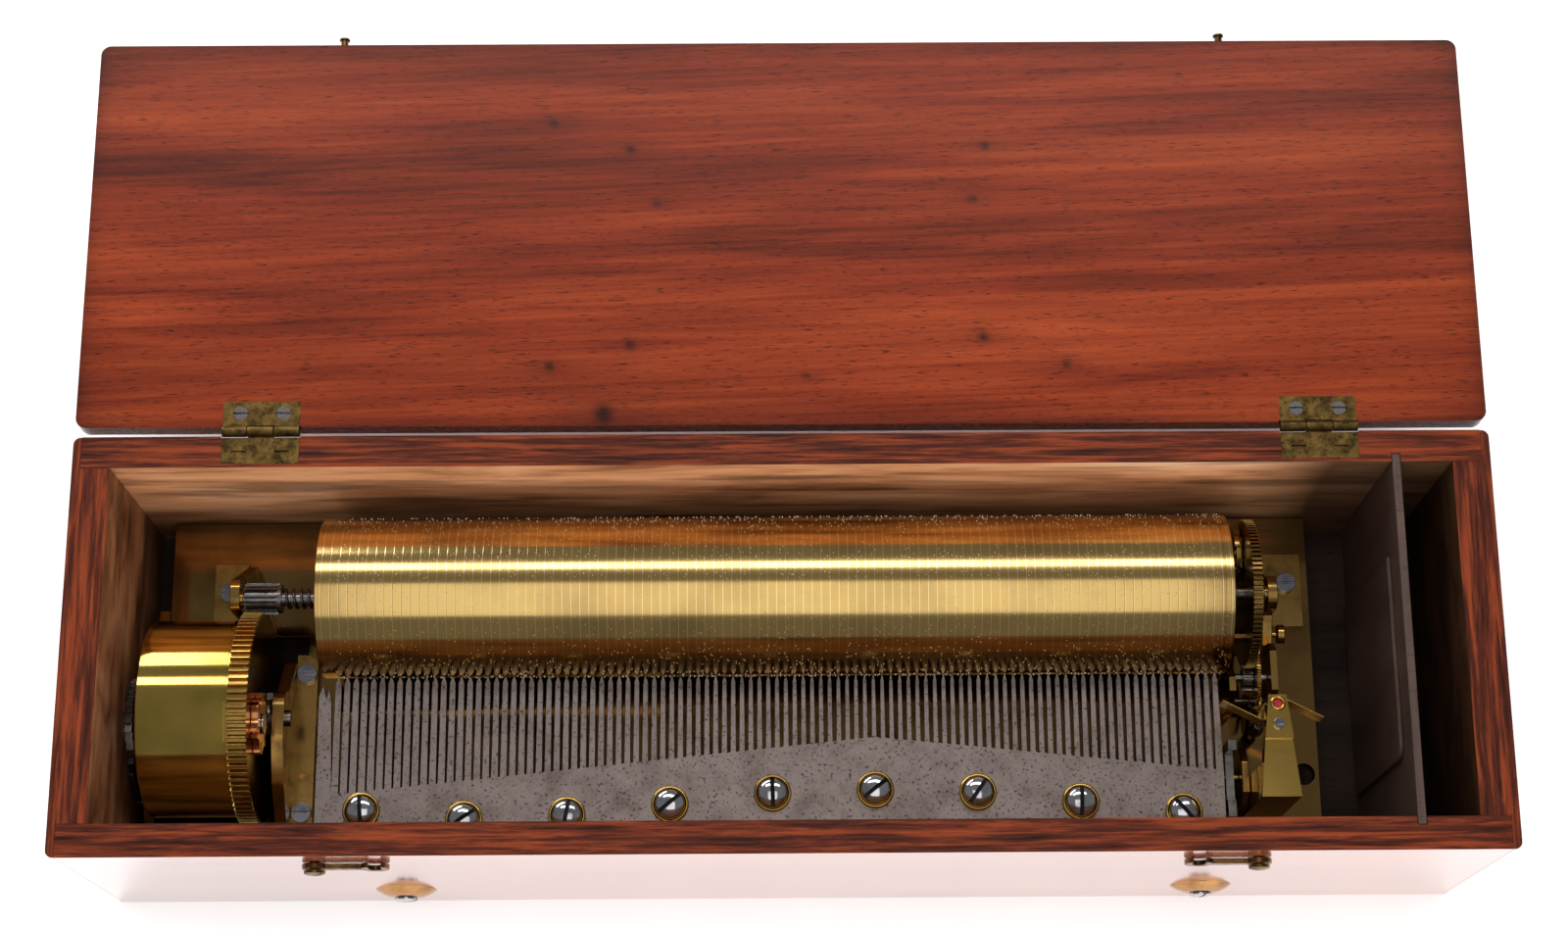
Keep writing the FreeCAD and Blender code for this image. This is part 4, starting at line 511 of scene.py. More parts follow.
class Finish(Enum):
    """Every finish of the music box, each made once."""

    # French polish gone thin: a red-brown board with a soft sheen, darker at its worn edges and knots.
    LID = Mahogany("french_polished_mahogany", "401305", "6b240d", "8a3817", "1a0703", roughness=0.24,
                   coat=0.0, shine=0.12, log_place=0.17, toned=True)
    # Old varnish outside mirrors the light. The bare inside is painted a lighter tan than the end boards' to
    # stand for the light on the back wall, with painted shade low down near the plate and, through near, on
    # the front board's inside.
    CASE_LONG = CaseMahogany("varnished_mahogany_long", "4a1d12", "8a3d24", "a85a3a", "2d1009",
                             roughness=0.14, coat=1.0, inner_dark="774a31", inner_warm="cf9064",
                             inner_pale="e6b48c", near=1.0)
    # The same boards with their grain turned along Y, so that the ends read as separate planks.
    CASE_END = CaseMahogany("varnished_mahogany_end", "4a1d12", "8a3d24", "a85a3a", "2d1009",
                            grain=(9.0, 150.0, 9.0), pores=(0.35, 3.2, 0.35), roughness=0.14, coat=1.0)
    # Softwood that was never finished, painted nearly black as the shade on the box's inner floor, and
    # without any shine.
    SOOTY_WOOD = Mahogany("unfinished_pine_painted_shade", "0d0806", "1d130e", "2d1e16", "080504", roughness=0.6,
                          coat=0.0, shine=0.15)
    # Thin stained board: a grey brown whose grain stands upright.
    PANEL_WOOD = Mahogany("thin_stained_panel", "2a1e18", "42312a", "5a453a", "17100c",
                          grain=(9.0, 60.0, 160.0), roughness=0.45, coat=0.05)
    # Brass browned by age and painted darker still as the shade under the works; still smooth enough to show
    # a dark mirror of them.
    PLATE = Metal("tarnished_and_shade_painted_bedplate", "8f6f40", "553f22", smooth=0.06, dull=0.16, patch_mm=30.0)
    # Darkened steel: small heads that glint grey.
    SCREW_STEEL = Metal("dark_screw_steel", "a3a3ab", "57555c", smooth=0.08, dull=0.2, patch_mm=5.0)
    # Steel at a slot's floor, painted dark as the shade in the slot, so that the slot reads as a dark line.
    SLOT_STEEL = Metal("painted_slot_shade_steel", "2e2c2e", "1a1818", smooth=0.4, dull=0.6)
    # Hand-polished brass: a bright warm yellow with sharp glints.
    BRASS = Metal("polished_brass_plate", "dab25c", "a07a3c", smooth=0.07, dull=0.2)
    # Brass spun to a cup: a pinkish brown with a broad highlight round the dome.
    CUP_BRASS = Metal("spun_cup_brass", "b98a58", "86603a", smooth=0.12, dull=0.24, patch_mm=6.0)
    # Brass under the comb, dull as it is out of reach of polish, and painted dark as the shade that the comb
    # and cylinder throw on it.
    BASE_BRASS = Metal("shaded_base_brass", "6b5230", "3a2c1a", smooth=0.3, dull=0.5, patch_mm=8.0)
    # An old wheel's turned face: olive brown, with fine rings.
    AGED_WHEEL = TurnedMetal("aged_brass_wheel", "8d6e3c", "5a4426", smooth=0.16, dull=0.32, ring_mm=0.4)
    # Castings finished with a file: darker yellow, with a soft, broken shine.
    CAST_BRASS = Metal("filed_brass", "a98548", "66502e", smooth=0.16, dull=0.34, patch_mm=6.0)
    # Cut brass teeth: lighter than the old wheel, so that each tooth shows.
    WHEEL = TurnedMetal("cut_brass_wheel", "bb9651", "7d6136", smooth=0.16, dull=0.32, ring_mm=0.4)
    # Fine turning: a near mirror that stretches the lamps to bands along the drum.
    DRUM = TurnedMetal("turned_brass_drum", "d6b25c", "a08a3c", smooth=0.06, dull=0.12, ring_mm=0.55,
                       relief_mm=0.006, patch_mm=30.0)
    # A turned tube with a scribed line for each tooth: long soft highlights under fine rings.
    CYLINDER = TurnedMetal("pinned_brass_tube", "d2af6c", "a88857", smooth=0.13, dull=0.2, ring_mm=0.6,
                           relief_mm=0.03, line_pitch_mm=2.573, line_start_mm=-130.4, patch_mm=40.0)
    # Hinge leaves with dark spots of dirt: dull, mottled yellow brown.
    OLD_BRASS = Metal("aged_hinge_brass", "8b6d3a", "4a3a22", smooth=0.3, dull=0.55, patch_mm=3.0,
                      patches=(0.3, 0.65), fleck="1e1811", fleck_mm=0.9, fleck_share=(0.58, 0.66))
    # Cast hooks worn by hands: brown, with little shine.
    HOOK_BRASS = Metal("cast_hook_brass", "7a5c38", "33271a", smooth=0.24, dull=0.45, patch_mm=3.0)
    # The star's copper alloy: a salmon pink that stands out from the brass.
    COPPER = Metal("copper_star", "e09a68", "a8623c", smooth=0.12, dull=0.28)
    # Screw heads polished like mirrors: near white or near black with what they face.
    POLISHED_STEEL = Metal("polished_screw_steel", "c9c8cc", "8f8b90", smooth=0.06, dull=0.16, patch_mm=5.0)
    # Turned steel, a little stained: soft grey streaks.
    SHAFT_STEEL = Metal("turned_steel", "8b8784", "4b4540", smooth=0.2, dull=0.4, patch_mm=4.0)
    # Tempered steel: a blue-grey, even surface.
    SPRING_STEEL = Metal("tempered_spring_steel", "6f7076", "3c3a3a", smooth=0.22, dull=0.4)
    # Hardened and ground steel: a warm grey brushed along the teeth, with specks of rust.
    COMB = Metal("hardened_comb_steel", "998a84", "756762", smooth=0.3, dull=0.5, patch_mm=9.0,
                 scratch_mm=(0.3, 9.0, 9.0), fleck="2f2626", fleck_mm=0.9, fleck_share=(0.57, 0.64))
    # Filed lead: dark, blue-grey and flat.
    LEAD = Metal("filed_lead", "55555a", "2f2f33", smooth=0.5, dull=0.7, patch_mm=2.0)
    # Wire ends cropped by a file: tiny pale points on the brass.
    PIN_STEEL = Metal("cropped_pin_wire", "e0d6c0", "8f7a58", smooth=0.3, dull=0.45, patch_mm=0.8)
    # Rolled leaf: thin and evenly bright.
    FLY_BRASS = Metal("rolled_brass_leaf", "c9a456", "8a6a34", smooth=0.2, dull=0.4)

    def made(self) -> Material:
        """The finish's material, built the first time it is asked for."""
        known = bpy.data.materials.get(self.value.name)
        return known or self.value.material()


def ruby() -> Material:
    """Polished ruby: deep red, clear and very glossy, with a hard white glint.

    Returns:
        The material.
    """
    material, tree, shader, place = start_material("polished_ruby")
    depth = stretched_noise(tree, place, (0.8, 0.8, 0.8), 2.0)
    tree.links.new(add_ramp(tree, depth, ((0.3, "5a0414"), (0.7, "b0142c"))), shader.inputs["Base Color"])
    shader.inputs["Roughness"].default_value = 0.04
    shader.inputs["IOR"].default_value = 1.77
    shader.inputs["Coat Weight"].default_value = 1.0
    return material


# ---- surfaces ------------------------------------------------------------------------------------


def quads(rows: int, columns: int, wrap_rows: bool, wrap_columns: bool) -> Array:
    """Corner numbers of the quads of a grid that may close on itself either way.

    Args:
        rows: points one way.
        columns: points the other way, which are next to each other in the list.
        wrap_rows: whether the last row joins the first.
        wrap_columns: whether the last column joins the first.

    Returns:
        Four corner numbers for each quad.
    """
    first = np.arange(rows if wrap_rows else rows - 1)
    second = np.arange(columns if wrap_columns else columns - 1)
    i, j = np.meshgrid(first, second, indexing="ij")
    ahead, beside = (i + 1) % rows, (j + 1) % columns
    return np.stack([i * columns + j, ahead * columns + j, ahead * columns + beside,
                     i * columns + beside], axis=-1).reshape(-1, 4)


def finish_piece(name: str, points: Array, faces: Array, finish: Material, body: str,
                 smooth_angle: float = 35.0) -> Piece:
    """Makes a closed mesh object from points in millimetres and its faces.

    Args:
        name: the piece's name.
        points: corner places, in millimetres in the row frame.
        faces: four corner numbers a face.
        finish: the material.
        body: the body that it rides on.
        smooth_angle: edges sharper than this stay sharp, in degrees.

    Returns:
        The new object, with doubles merged and its faces pointing outwards.
    """
    mesh = bpy.data.meshes.new(name)
    mesh.from_pydata((points.reshape(-1, 3) * MM).tolist(), [], faces.tolist())
    shell = bmesh.new()
    shell.from_mesh(mesh)
    bmesh.ops.remove_doubles(shell, verts=shell.verts, dist=MERGE_M)
    bmesh.ops.dissolve_degenerate(shell, edges=shell.edges, dist=SLIVER_M)
    bmesh.ops.recalc_face_normals(shell, faces=shell.faces)
    shell.to_mesh(mesh)
    shell.free()
    mesh.shade_smooth()
    mesh.set_sharp_from_angle(angle=math.radians(smooth_angle))
    mesh.materials.append(finish)
    piece = bpy.data.objects.new(name, mesh)
    bpy.context.scene.collection.objects.link(piece)
    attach(piece, body)
    LOG.info("%s: %d faces on %s", name, len(mesh.polygons), body)
    return piece


def stood(points: Array, centre: Sequence[float], axis: Axis) -> Array:
    """Places (side, side, height) points so that height runs along an axis from a centre."""
    up, first, second = (np.array(row) for row in axis.value)
    return (points[..., 0:1] * first + points[..., 1:2] * second + points[..., 2:3] * up) + np.array(centre)


def turned(profile: Sequence[tuple[float, float]], segments: int) -> Solid:
    """A profile of (height, radius) turned about the height axis: (r cos a, r sin a, h) for a full turn.

    Args:
        profile: the section, from axis to axis, or all the way round a ring.
        segments: steps in the turn.

    Returns:
        Points and faces; the profile closes on itself where its ends differ from the axis.
    """
    section = np.array(profile)
    angle = np.linspace(0, 2 * np.pi, segments, endpoint=False)[:, None]
    radius = section[:, 1][None, :]
    points = np.stack([radius * np.cos(angle), radius * np.sin(angle),
                       np.broadcast_to(section[:, 0][None, :], (segments, len(section)))], axis=-1)
    return points.reshape(-1, 3), quads(segments, len(section), True, True)


def slab(x: Array, y: Array, top: Array, floor: float) -> Solid:
    """A closed block under a grid: its top follows a height, its floor is flat, its sides drop straight.

    Args:
        x: sideways places, on a grid.
        y: the other sideways places, on the same grid.
        top: the top's height at each.
        floor: the height of the flat underside.

    Returns:
        Points and faces.
    """
    rows, columns = x.shape
    upper = np.stack([x, y, top], axis=-1).reshape(-1, 3)
    lower = np.stack([x, y, np.full_like(top, floor)], axis=-1).reshape(-1, 3)
    cover = quads(rows, columns, False, False)
    loop = np.concatenate([np.arange(columns), np.arange(1, rows) * columns + columns - 1,
                           (rows - 1) * columns + np.arange(columns - 2, -1, -1),
                           np.arange(rows - 2, 0, -1) * columns])
    after = np.roll(loop, -1)
    count = rows * columns
    sides = np.stack([loop, after, after + count, loop + count], axis=-1)
    return np.concatenate([upper, lower]), np.concatenate([cover, cover[:, ::-1] + count, sides])


def gathered(parts: Sequence[Solid]) -> Solid:
    """Puts several point and face sets into one."""
    starts = np.cumsum([0] + [len(points) for points, _ in parts[:-1]])
    return (np.concatenate([points for points, _ in parts]),
            np.concatenate([faces + start for (_, faces), start in zip(parts, starts)]))


@dataclass(frozen=True)
class Screw:
    """A slotted screw: its domed head, its slot, and its shank down to the point, in millimetres."""

    radius: float
    rise: float
    slot: float
    depth: float
    shank: float
    length: float
    lap: float = 0.05

    def head(self, turn: float) -> Solid:
        """The polished dome of the head, standing on height 0 and parted by its slot.

        Across each part, v runs from the slot to the rim, and along it, u runs over the chord there. The
        height is rise times (0.4 + 0.6 sqrt(1 - 0.96 r^2 / R^2)).

        Args:
            turn: the slot's direction in degrees.

        Returns:
            Points and faces about the head's own centre.
        """
        floor = self.rise - self.depth
        share, chord = np.meshgrid(np.linspace(0, 1, 9), np.linspace(-1, 1, 17), indexing="ij")
        v = self.slot / 2 + (1 - (1 - share) ** 1.6) * (self.radius - self.slot / 2)
        u = np.sin(chord * np.pi / 2) * np.sqrt(np.maximum(self.radius ** 2 - v ** 2, 0))
        reach = np.minimum((u ** 2 + v ** 2) / self.radius ** 2, 1)
        height = np.maximum(self.rise * (0.4 + 0.6 * np.sqrt(1 - 0.96 * reach)), floor)
        base = floor - self.lap
        points, faces = gathered([slab(u, v, height, base), slab(-u, -v, height, base)])
        cosine, sine = math.cos(math.radians(turn)), math.sin(math.radians(turn))
        spin = np.array([[cosine, -sine, 0], [sine, cosine, 0], [0, 0, 1]])
        return points @ spin.T, faces

    def core(self) -> Solid:
        """The core, dark on the comb's screws as painted slot shade: the disc at the slot's floor, then the
        shank down to its point.

        Returns:
            Points and faces about the head's own centre.
        """
        floor = self.rise - self.depth
        return turned([(-self.length, 0), (-self.length, self.shank), (self.lap, self.shank),
                       (self.lap, self.radius), (0.35 * floor, self.radius), (floor, self.radius * 0.985),
                       (floor, 0)], 32)


def corner(node: str, end: int) -> Array:
    """A CAD node's lowest (0) or highest (1) corner, in millimetres."""
    return np.array(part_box(node)[end]) / MM


def middle(node: str) -> Array:
    """The middle of a CAD node's box, in millimetres."""
    return (corner(node, 0) + corner(node, 1)) / 2


def body_of(node: str) -> str:
    """The body that holds a CAD node."""
    bodies = frame["record"]["behaviour"]["bodies"]
    return next(name for name, nodes in bodies.items() if node in nodes)


def stand_for(node: str) -> None:
    """Lets a finished piece stand for a CAD node by hiding the node."""
    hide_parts(node)


def dress(finish: Material, *nodes: str) -> None:
    """Gives CAD nodes a finish.

    Args:
        finish: the material.
        nodes: the CAD nodes that wear it.
    """
    for node in nodes:
        materials = frame["nodes"][node].data.materials
        materials.clear()
        materials.append(finish)


def eased(node: str, finish: Material, round_mm: float, steps: int = 2,
          smooth_angle: float = 32.0) -> Piece:
    """Stands for a CAD node with a merged copy whose sharp edges are broken, so that they catch the light.

    Args:
        node: the CAD node.
        finish: the material.
        round_mm: the width of the broken edge, or 0 to leave it sharp.
        steps: facets across the broken edge.
        smooth_angle: edges sharper than this stay sharp, in degrees.

    Returns:
        The new object.
    """
    mesh = frame["nodes"][node].data.copy()
    shell = bmesh.new()
    shell.from_mesh(mesh)
    bmesh.ops.remove_doubles(shell, verts=shell.verts, dist=CAD_MERGE_M)
    bmesh.ops.dissolve_limit(shell, angle_limit=math.radians(FLAT_DEGREES), verts=shell.verts,
                             edges=shell.edges)
    shell.to_mesh(mesh)
    shell.free()
    for layer in [a for a in mesh.attributes if a.name in ("custom_normal", "sharp_face")]:
        mesh.attributes.remove(layer)
    mesh.shade_smooth()
    mesh.set_sharp_from_angle(angle=math.radians(smooth_angle))
    mesh.materials.clear()
    mesh.materials.append(finish)
    piece = bpy.data.objects.new(node + "_worked", mesh)
    bpy.context.scene.collection.objects.link(piece)
    if round_mm:
        edge = piece.modifiers.new("broken_edges", "BEVEL")
        edge.width = round_mm * MM
        edge.segments = steps
        edge.limit_method = "ANGLE"
        edge.angle_limit = math.radians(BROKEN_DEGREES)
        edge.use_clamp_overlap = True
        edge.harden_normals = True
    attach(piece, body_of(node))
    stand_for(node)
    LOG.info("%s: worked copy on %s", node, body_of(node))
    return piece


# ---- the music box, group by group ---------------------------------------------------------------


@dataclass
class Case:
    """The wooden case with its partition, hooks and the bolts that hold the movement."""

    edge: float = 0.7
    hook_edge: float = 0.45
    panel_edges: tuple[float, float] = (0.3, 0.35)
    hook_screw: Screw = Screw(radius=3.0, rise=1.4, slot=0.6, depth=0.55, shank=1.5, length=8.4)
    hook_turns: tuple[float, float] = (35.0, -20.0)
    cup_rise: float = 2.6
    cup_radius: float = 9.1
    cup_bore: float = 2.3
    cup_foot: float = 2.28
    bolt: Screw = Screw(radius=3.4, rise=1.0, slot=0.75, depth=0.6, shank=2.15, length=16.0)
    bolt_turns: tuple[float, float] = (12.0, 74.0)

    def build(self) -> None:
        """Dresses the boards and builds the fittings."""
        for node in ("case_front", "case_back"):
            eased(node, Finish.CASE_LONG.made(), self.edge)
        for node in ("case_left", "case_right"):
            eased(node, Finish.CASE_END.made(), self.edge)
        # The bottom board's near-black colour is painted shade.
        dress(Finish.SOOTY_WOOD.made(), "case_bottom")
        for node, edge in zip(("partition", "partition_panel"), self.panel_edges):
            eased(node, Finish.PANEL_WOOD.made(), edge)
        for node in ("hook_left", "hook_right"):
            eased(node, Finish.HOOK_BRASS.made(), self.hook_edge, 3)
        self.hook_screws()
        self.bolts()

    def hook_screws(self) -> None:
        """Domed brass pivot screws of the two hooks."""
        low, high = corner("hook_screws", 0), corner("hook_screws", 1)
        screw = self.hook_screw
        parts = []
        for across, turn in zip((low[0] + screw.radius, high[0] - screw.radius), self.hook_turns):
            centre = (across, low[1] + screw.rise, (low[2] + high[2]) / 2)
            for points, faces in (screw.head(turn), screw.core()):
                parts.append((stood(points, centre, Axis.FRONT), faces))
        piece = finish_piece("hook_pivot_screws", *gathered(parts), Finish.HOOK_BRASS.made(), "case")
        stand_for("hook_screws")

    def bolts(self) -> None:
        """Domed washers with rolled rims, and the slotted bolts in them, front and back.

        A washer's height is its rise times cos(s pi / 2)^0.8, as s runs from its bore to its rim.
        """
        low, high = corner("fixing_washers", 0), corner("fixing_washers", 1)
        height = (low[2] + high[2]) / 2
        face = low[1] + self.cup_rise
        cap = [(float(self.cup_rise * math.cos(s * math.pi / 2) ** 0.8),
                float(self.cup_bore + (self.cup_radius - self.cup_bore) * s)) for s in np.linspace(0, 1, 12)]
        cup = [(0.0, self.cup_foot), *cap, (0.0, self.cup_radius)]
        cups, bolts = [], []
        for axis, wall in ((Axis.FRONT, face), (Axis.Y, -face)):
            ends = (low[0] + self.cup_radius, high[0] - self.cup_radius)
            for across, turn in zip(ends, self.bolt_turns):
                centre = (across, wall, height)
                points, faces = turned(cup, 64)
                cups.append((stood(points, centre, axis), faces))
                for points, faces in (self.bolt.head(turn), self.bolt.core()):
                    bolts.append((stood(points + np.array([0, 0, self.cup_rise]), centre, axis), faces))
        piece = finish_piece("spun_washers", *gathered(cups), Finish.CUP_BRASS.made(), "case")
        stand_for("fixing_washers")
        piece = finish_piece("slotted_bolts", *gathered(bolts), Finish.POLISHED_STEEL.made(), "case")
        stand_for("fixing_bolts")


@dataclass
class Lid:
    """The lid board and its hinges.

    Wear values say how dark a mark is and, for edges and corners, over how many millimetres it fades. A knot
    is its place from the lid's left near corner and its reach, in millimetres.
    """

    edge: float = 0.5
    cell: float = 1.25
    edge_wear: tuple[float, float] = (0.42, 3.0)
    corner_wear: tuple[float, float] = (0.4, 13.0)
    band_wear: float = 0.16
    knot_wear: tuple[float, float] = (0.75, 0.22)
    halo: tuple[float, float] = (6.0, 2.2)
    darkest: float = 0.95
    sharp_degrees: float = 32.0
    knots: tuple[tuple[float, float, float], ...] = (
        (137.0, 95.0, 1.3), (160.0, 86.5, 1.3), (266.0, 87.0, 1.2), (168.0, 69.0, 1.0), (262.0, 70.0, 1.1),
        (160.5, 24.5, 1.5), (137.0, 18.0, 1.4), (264.0, 26.5, 1.6), (288.0, 18.0, 1.2), (212.0, 14.5, 0.9),
        (153.0, 3.5, 2.6))

    def tone(self, x: Array, y: Array, low: Array, high: Array) -> Array:
        """How dark the board is at each place: worn corners and edges, broad bands, and each knot's spot.

        The edge and corner terms fall off exponentially, a band is a product of two sines of y bent by x, and
        a knot is a round Gaussian spot inside a faint one that is drawn out along the grain.

        Args:
            x: places along the board, in millimetres.
            y: places across it.
            low: the board's lowest corner.
            high: its highest corner.

        Returns:
            The darkness at each place, from 0 to darkest.
        """
        left, right = x - low[0], high[0] - x
        near, far = y - low[1], high[1] - y
        strength, fade = self.edge_wear
        edge = np.minimum(np.minimum(left, right), np.minimum(near, far))
        dark = strength * np.exp(-edge / fade)
        strength, fade = self.corner_wear
        reach = np.sqrt(np.minimum(left, right) ** 2 + np.minimum(near, far) ** 2)
        dark += strength * np.exp(-reach / fade)
        sweep = y + 0.075 * (x - low[0]) + 5.0 * np.sin(x / 55.0)
        dark += self.band_wear * np.clip(np.sin(sweep / 7.5) * np.sin(sweep / 19.0 + 0.8), 0, 1)
        spot, faint = self.knot_wear
        long, wide = self.halo
        for across, along, reach in self.knots:
            dx, dy = (x - low[0] - across) / reach, (y - low[1] - along) / reach
            heart = spot * np.exp(-(dx ** 2 + dy ** 2))
            dark += heart + faint * np.exp(-((dx / long) ** 2 + (dy / wide) ** 2))
        return np.clip(dark, 0, self.darkest)

    def build(self) -> None:
        """Builds the board with its tone and dresses the hinges."""
        piece = eased("lid", Finish.LID.made(), self.edge, 3)
        self.grade(piece)
        for node in ("hinge_leaves_case", "hinge_leaves_lid"):
            eased(node, Finish.OLD_BRASS.made(), 0.12)
        dress(Finish.OLD_BRASS.made(), "hinge_pins")
        for node in ("hinge_screws_case", "hinge_screws_lid"):
            eased(node, Finish.OLD_BRASS.made() if node.endswith("case") else Finish.SHAFT_STEEL.made(), 0.08)
        eased("lid_studs", Finish.HOOK_BRASS.made(), 0.3, 3)

    def grade(self, piece: Piece) -> None:
        """Cuts the board's faces into small cells and writes the tone at every corner.

        Args:
            piece: the board.
        """
        mesh = piece.data
        shell = bmesh.new()
        shell.from_mesh(mesh)
        low, high = corner("lid", 0), corner("lid", 1)
        for normal, start, stop in (((1, 0, 0), low[0], high[0]), ((0, 1, 0), low[1], high[1])):
            for place in np.arange(start + self.cell, stop - 0.5, self.cell):
                everything = list(shell.verts) + list(shell.edges) + list(shell.faces)
                bmesh.ops.bisect_plane(shell, geom=everything, dist=MERGE_M, plane_no=normal,
                                       plane_co=[place * MM * n for n in normal])
        shell.to_mesh(mesh)
        shell.free()
        mesh.shade_smooth()
        mesh.set_sharp_from_angle(angle=math.radians(self.sharp_degrees))
        places = np.empty(len(mesh.vertices) * 3)
        mesh.vertices.foreach_get("co", places)
        places = places.reshape(-1, 3) / MM
        tone = mesh.attributes.new("tone", "FLOAT", "POINT")
        tone.data.foreach_set("value", self.tone(places[:, 0], places[:, 1], low, high).astype(np.float32))


@dataclass
class Frame:
    """The brass bedplate, bearings, cocks and their screws."""

    plate_edge: float = 0.35
    part_edge: float = 0.3
    ring_width: float = 1.0
    ring_rise: float = 0.55
    ring_foot: float = 0.1
    ring_gap: float = 0.02

    def build(self) -> None:
        """Dresses the frame's plates and builds its screws."""
        # The bedplate's darkened brass is partly real tarnish and partly painted shade.
        eased("bedplate", Finish.PLATE.made(), self.plate_edge)
        for node in ("bearing_left", "bearing_right", "barrel_cock", "barrel_bridge", "governor_frame_left",
                     "governor_frame_right", "lever_bracket"):
            eased(node, Finish.CAST_BRASS.made(), self.part_edge)
        eased("governor_cock", Finish.BRASS.made(), self.part_edge)
        eased("bearing_bushes", Finish.BRASS.made(), 0.1)
        eased("cock_cap", Finish.BRASS.made(), 0.15)
        eased("movement_screws", Finish.SCREW_STEEL.made(), 0.25)
        eased("click_spring", Finish.SPRING_STEEL.made(), 0.08)
        eased("endstone", ruby(), 0.15)
        self.setting()

    def setting(self) -> None:
        """The brass ring that holds the ruby endstone; its crown is half an ellipse."""
        low, high = corner("endstone", 0), corner("endstone", 1)
        hole = (high[0] - low[0]) / 2 + self.ring_gap
        crown = [(self.ring_rise * math.sin(a), hole + self.ring_width / 2 * (1 + math.cos(a)))
                 for a in np.linspace(0, math.pi, 9)]
        foot = [(-self.ring_foot, hole + self.ring_width), *crown, (-self.ring_foot, hole)]
        points, faces = turned(foot, 40)
        seat = np.array([(low[0] + high[0]) / 2, (low[1] + high[1]) / 2, corner("cock_cap", 1)[2]])
        ring = finish_piece("endstone_setting", stood(points, seat, Axis.Z), faces, Finish.BRASS.made(),
                            "case")


@dataclass
class Comb:
    """The steel comb on its brass base, with its screws, washers and leads."""

    screw: Screw = Screw(radius=4.2, rise=2.8, slot=1.2, depth=1.5, shank=1.75, length=13.3)
    washer_radius: float = 5.45
    washer_rise: float = 1.4
    washer_bore: float = 1.85
    rim_round: float = 0.55
    rim_heights: tuple[float, float] = (0.55, 0.45)
    dish_radius: float = 3.6
    dish_height: float = 0.8
    apart: float = 5.0
    turns: tuple[float, ...] = (95.0, 35.0, 80.0, 40.0, 92.0, 38.0, 55.0, 88.0, 130.0)

    def build(self) -> None:
        """Dresses the comb and builds its nine screws."""
        eased("comb", Finish.COMB.made(), 0.1, 1)
        # The base's dark brass is painted shade under the comb.
        eased("comb_base", Finish.BASE_BRASS.made(), 0.3)
        dress(Finish.LEAD.made(), "comb_leads")
        heads, cores, rings = [], [], []
        for (across, along), turn in zip(self.places(), self.turns):
            centre = (across, along, corner("comb", 1)[2])
            seat = np.array(centre) + np.array([0, 0, self.washer_rise])
            points, faces = self.screw.head(turn)
            heads.append((stood(points, seat, Axis.Z), faces))
            points, faces = self.screw.core()
            cores.append((stood(points, seat, Axis.Z), faces))
            ring, ring_faces = turned(self.washer(), 56)
            rings.append((stood(ring, centre, Axis.Z), ring_faces))
        piece = finish_piece("domed_comb_screws", *gathered(heads), Finish.POLISHED_STEEL.made(), "case")
        stand_for("comb_screws")
        # The cores' dark steel is painted shade at the floors of the slots.
        core = finish_piece("comb_screw_cores", *gathered(cores), Finish.SLOT_STEEL.made(), "case")
        piece = finish_piece("turned_comb_washers", *gathered(rings), Finish.BRASS.made(), "case")
        stand_for("comb_washers")

    def washer(self) -> list[tuple[float, float]]:
        """The washer's section: a flat foot, a rounded rim and a shallow dish under the head.

        Returns:
            Height and radius of each point, all the way round the section.
        """
        start, lift = self.rim_heights
        rim = [(self.washer_rise * (start + lift * math.sin(a)),
                self.washer_radius - self.rim_round + self.rim_round * math.cos(a))
               for a in np.linspace(0, math.pi, 9)]
        dish = self.washer_rise * self.dish_height
        return [(0.0, self.washer_bore), (0.0, self.washer_radius), *rim, (dish, self.dish_radius),
                (dish, self.washer_bore)]

    def places(self) -> list[tuple[float, float]]:
        """The centre of each washer, read from the CAD washers' own vertices.

        Returns:
            Sideways and lengthways places in millimetres, from left to right.
        """
        mesh = frame["nodes"]["comb_washers"].data
        spots = np.empty(len(mesh.vertices) * 3)
        mesh.vertices.foreach_get("co", spots)
        spots = spots.reshape(-1, 3)[:, :2] / MM
        spots = spots[np.argsort(spots[:, 0])]
        breaks = np.flatnonzero(np.diff(spots[:, 0]) > self.apart) + 1
        return [tuple((part.min(axis=0) + part.max(axis=0)) / 2) for part in np.split(spots, breaks)]


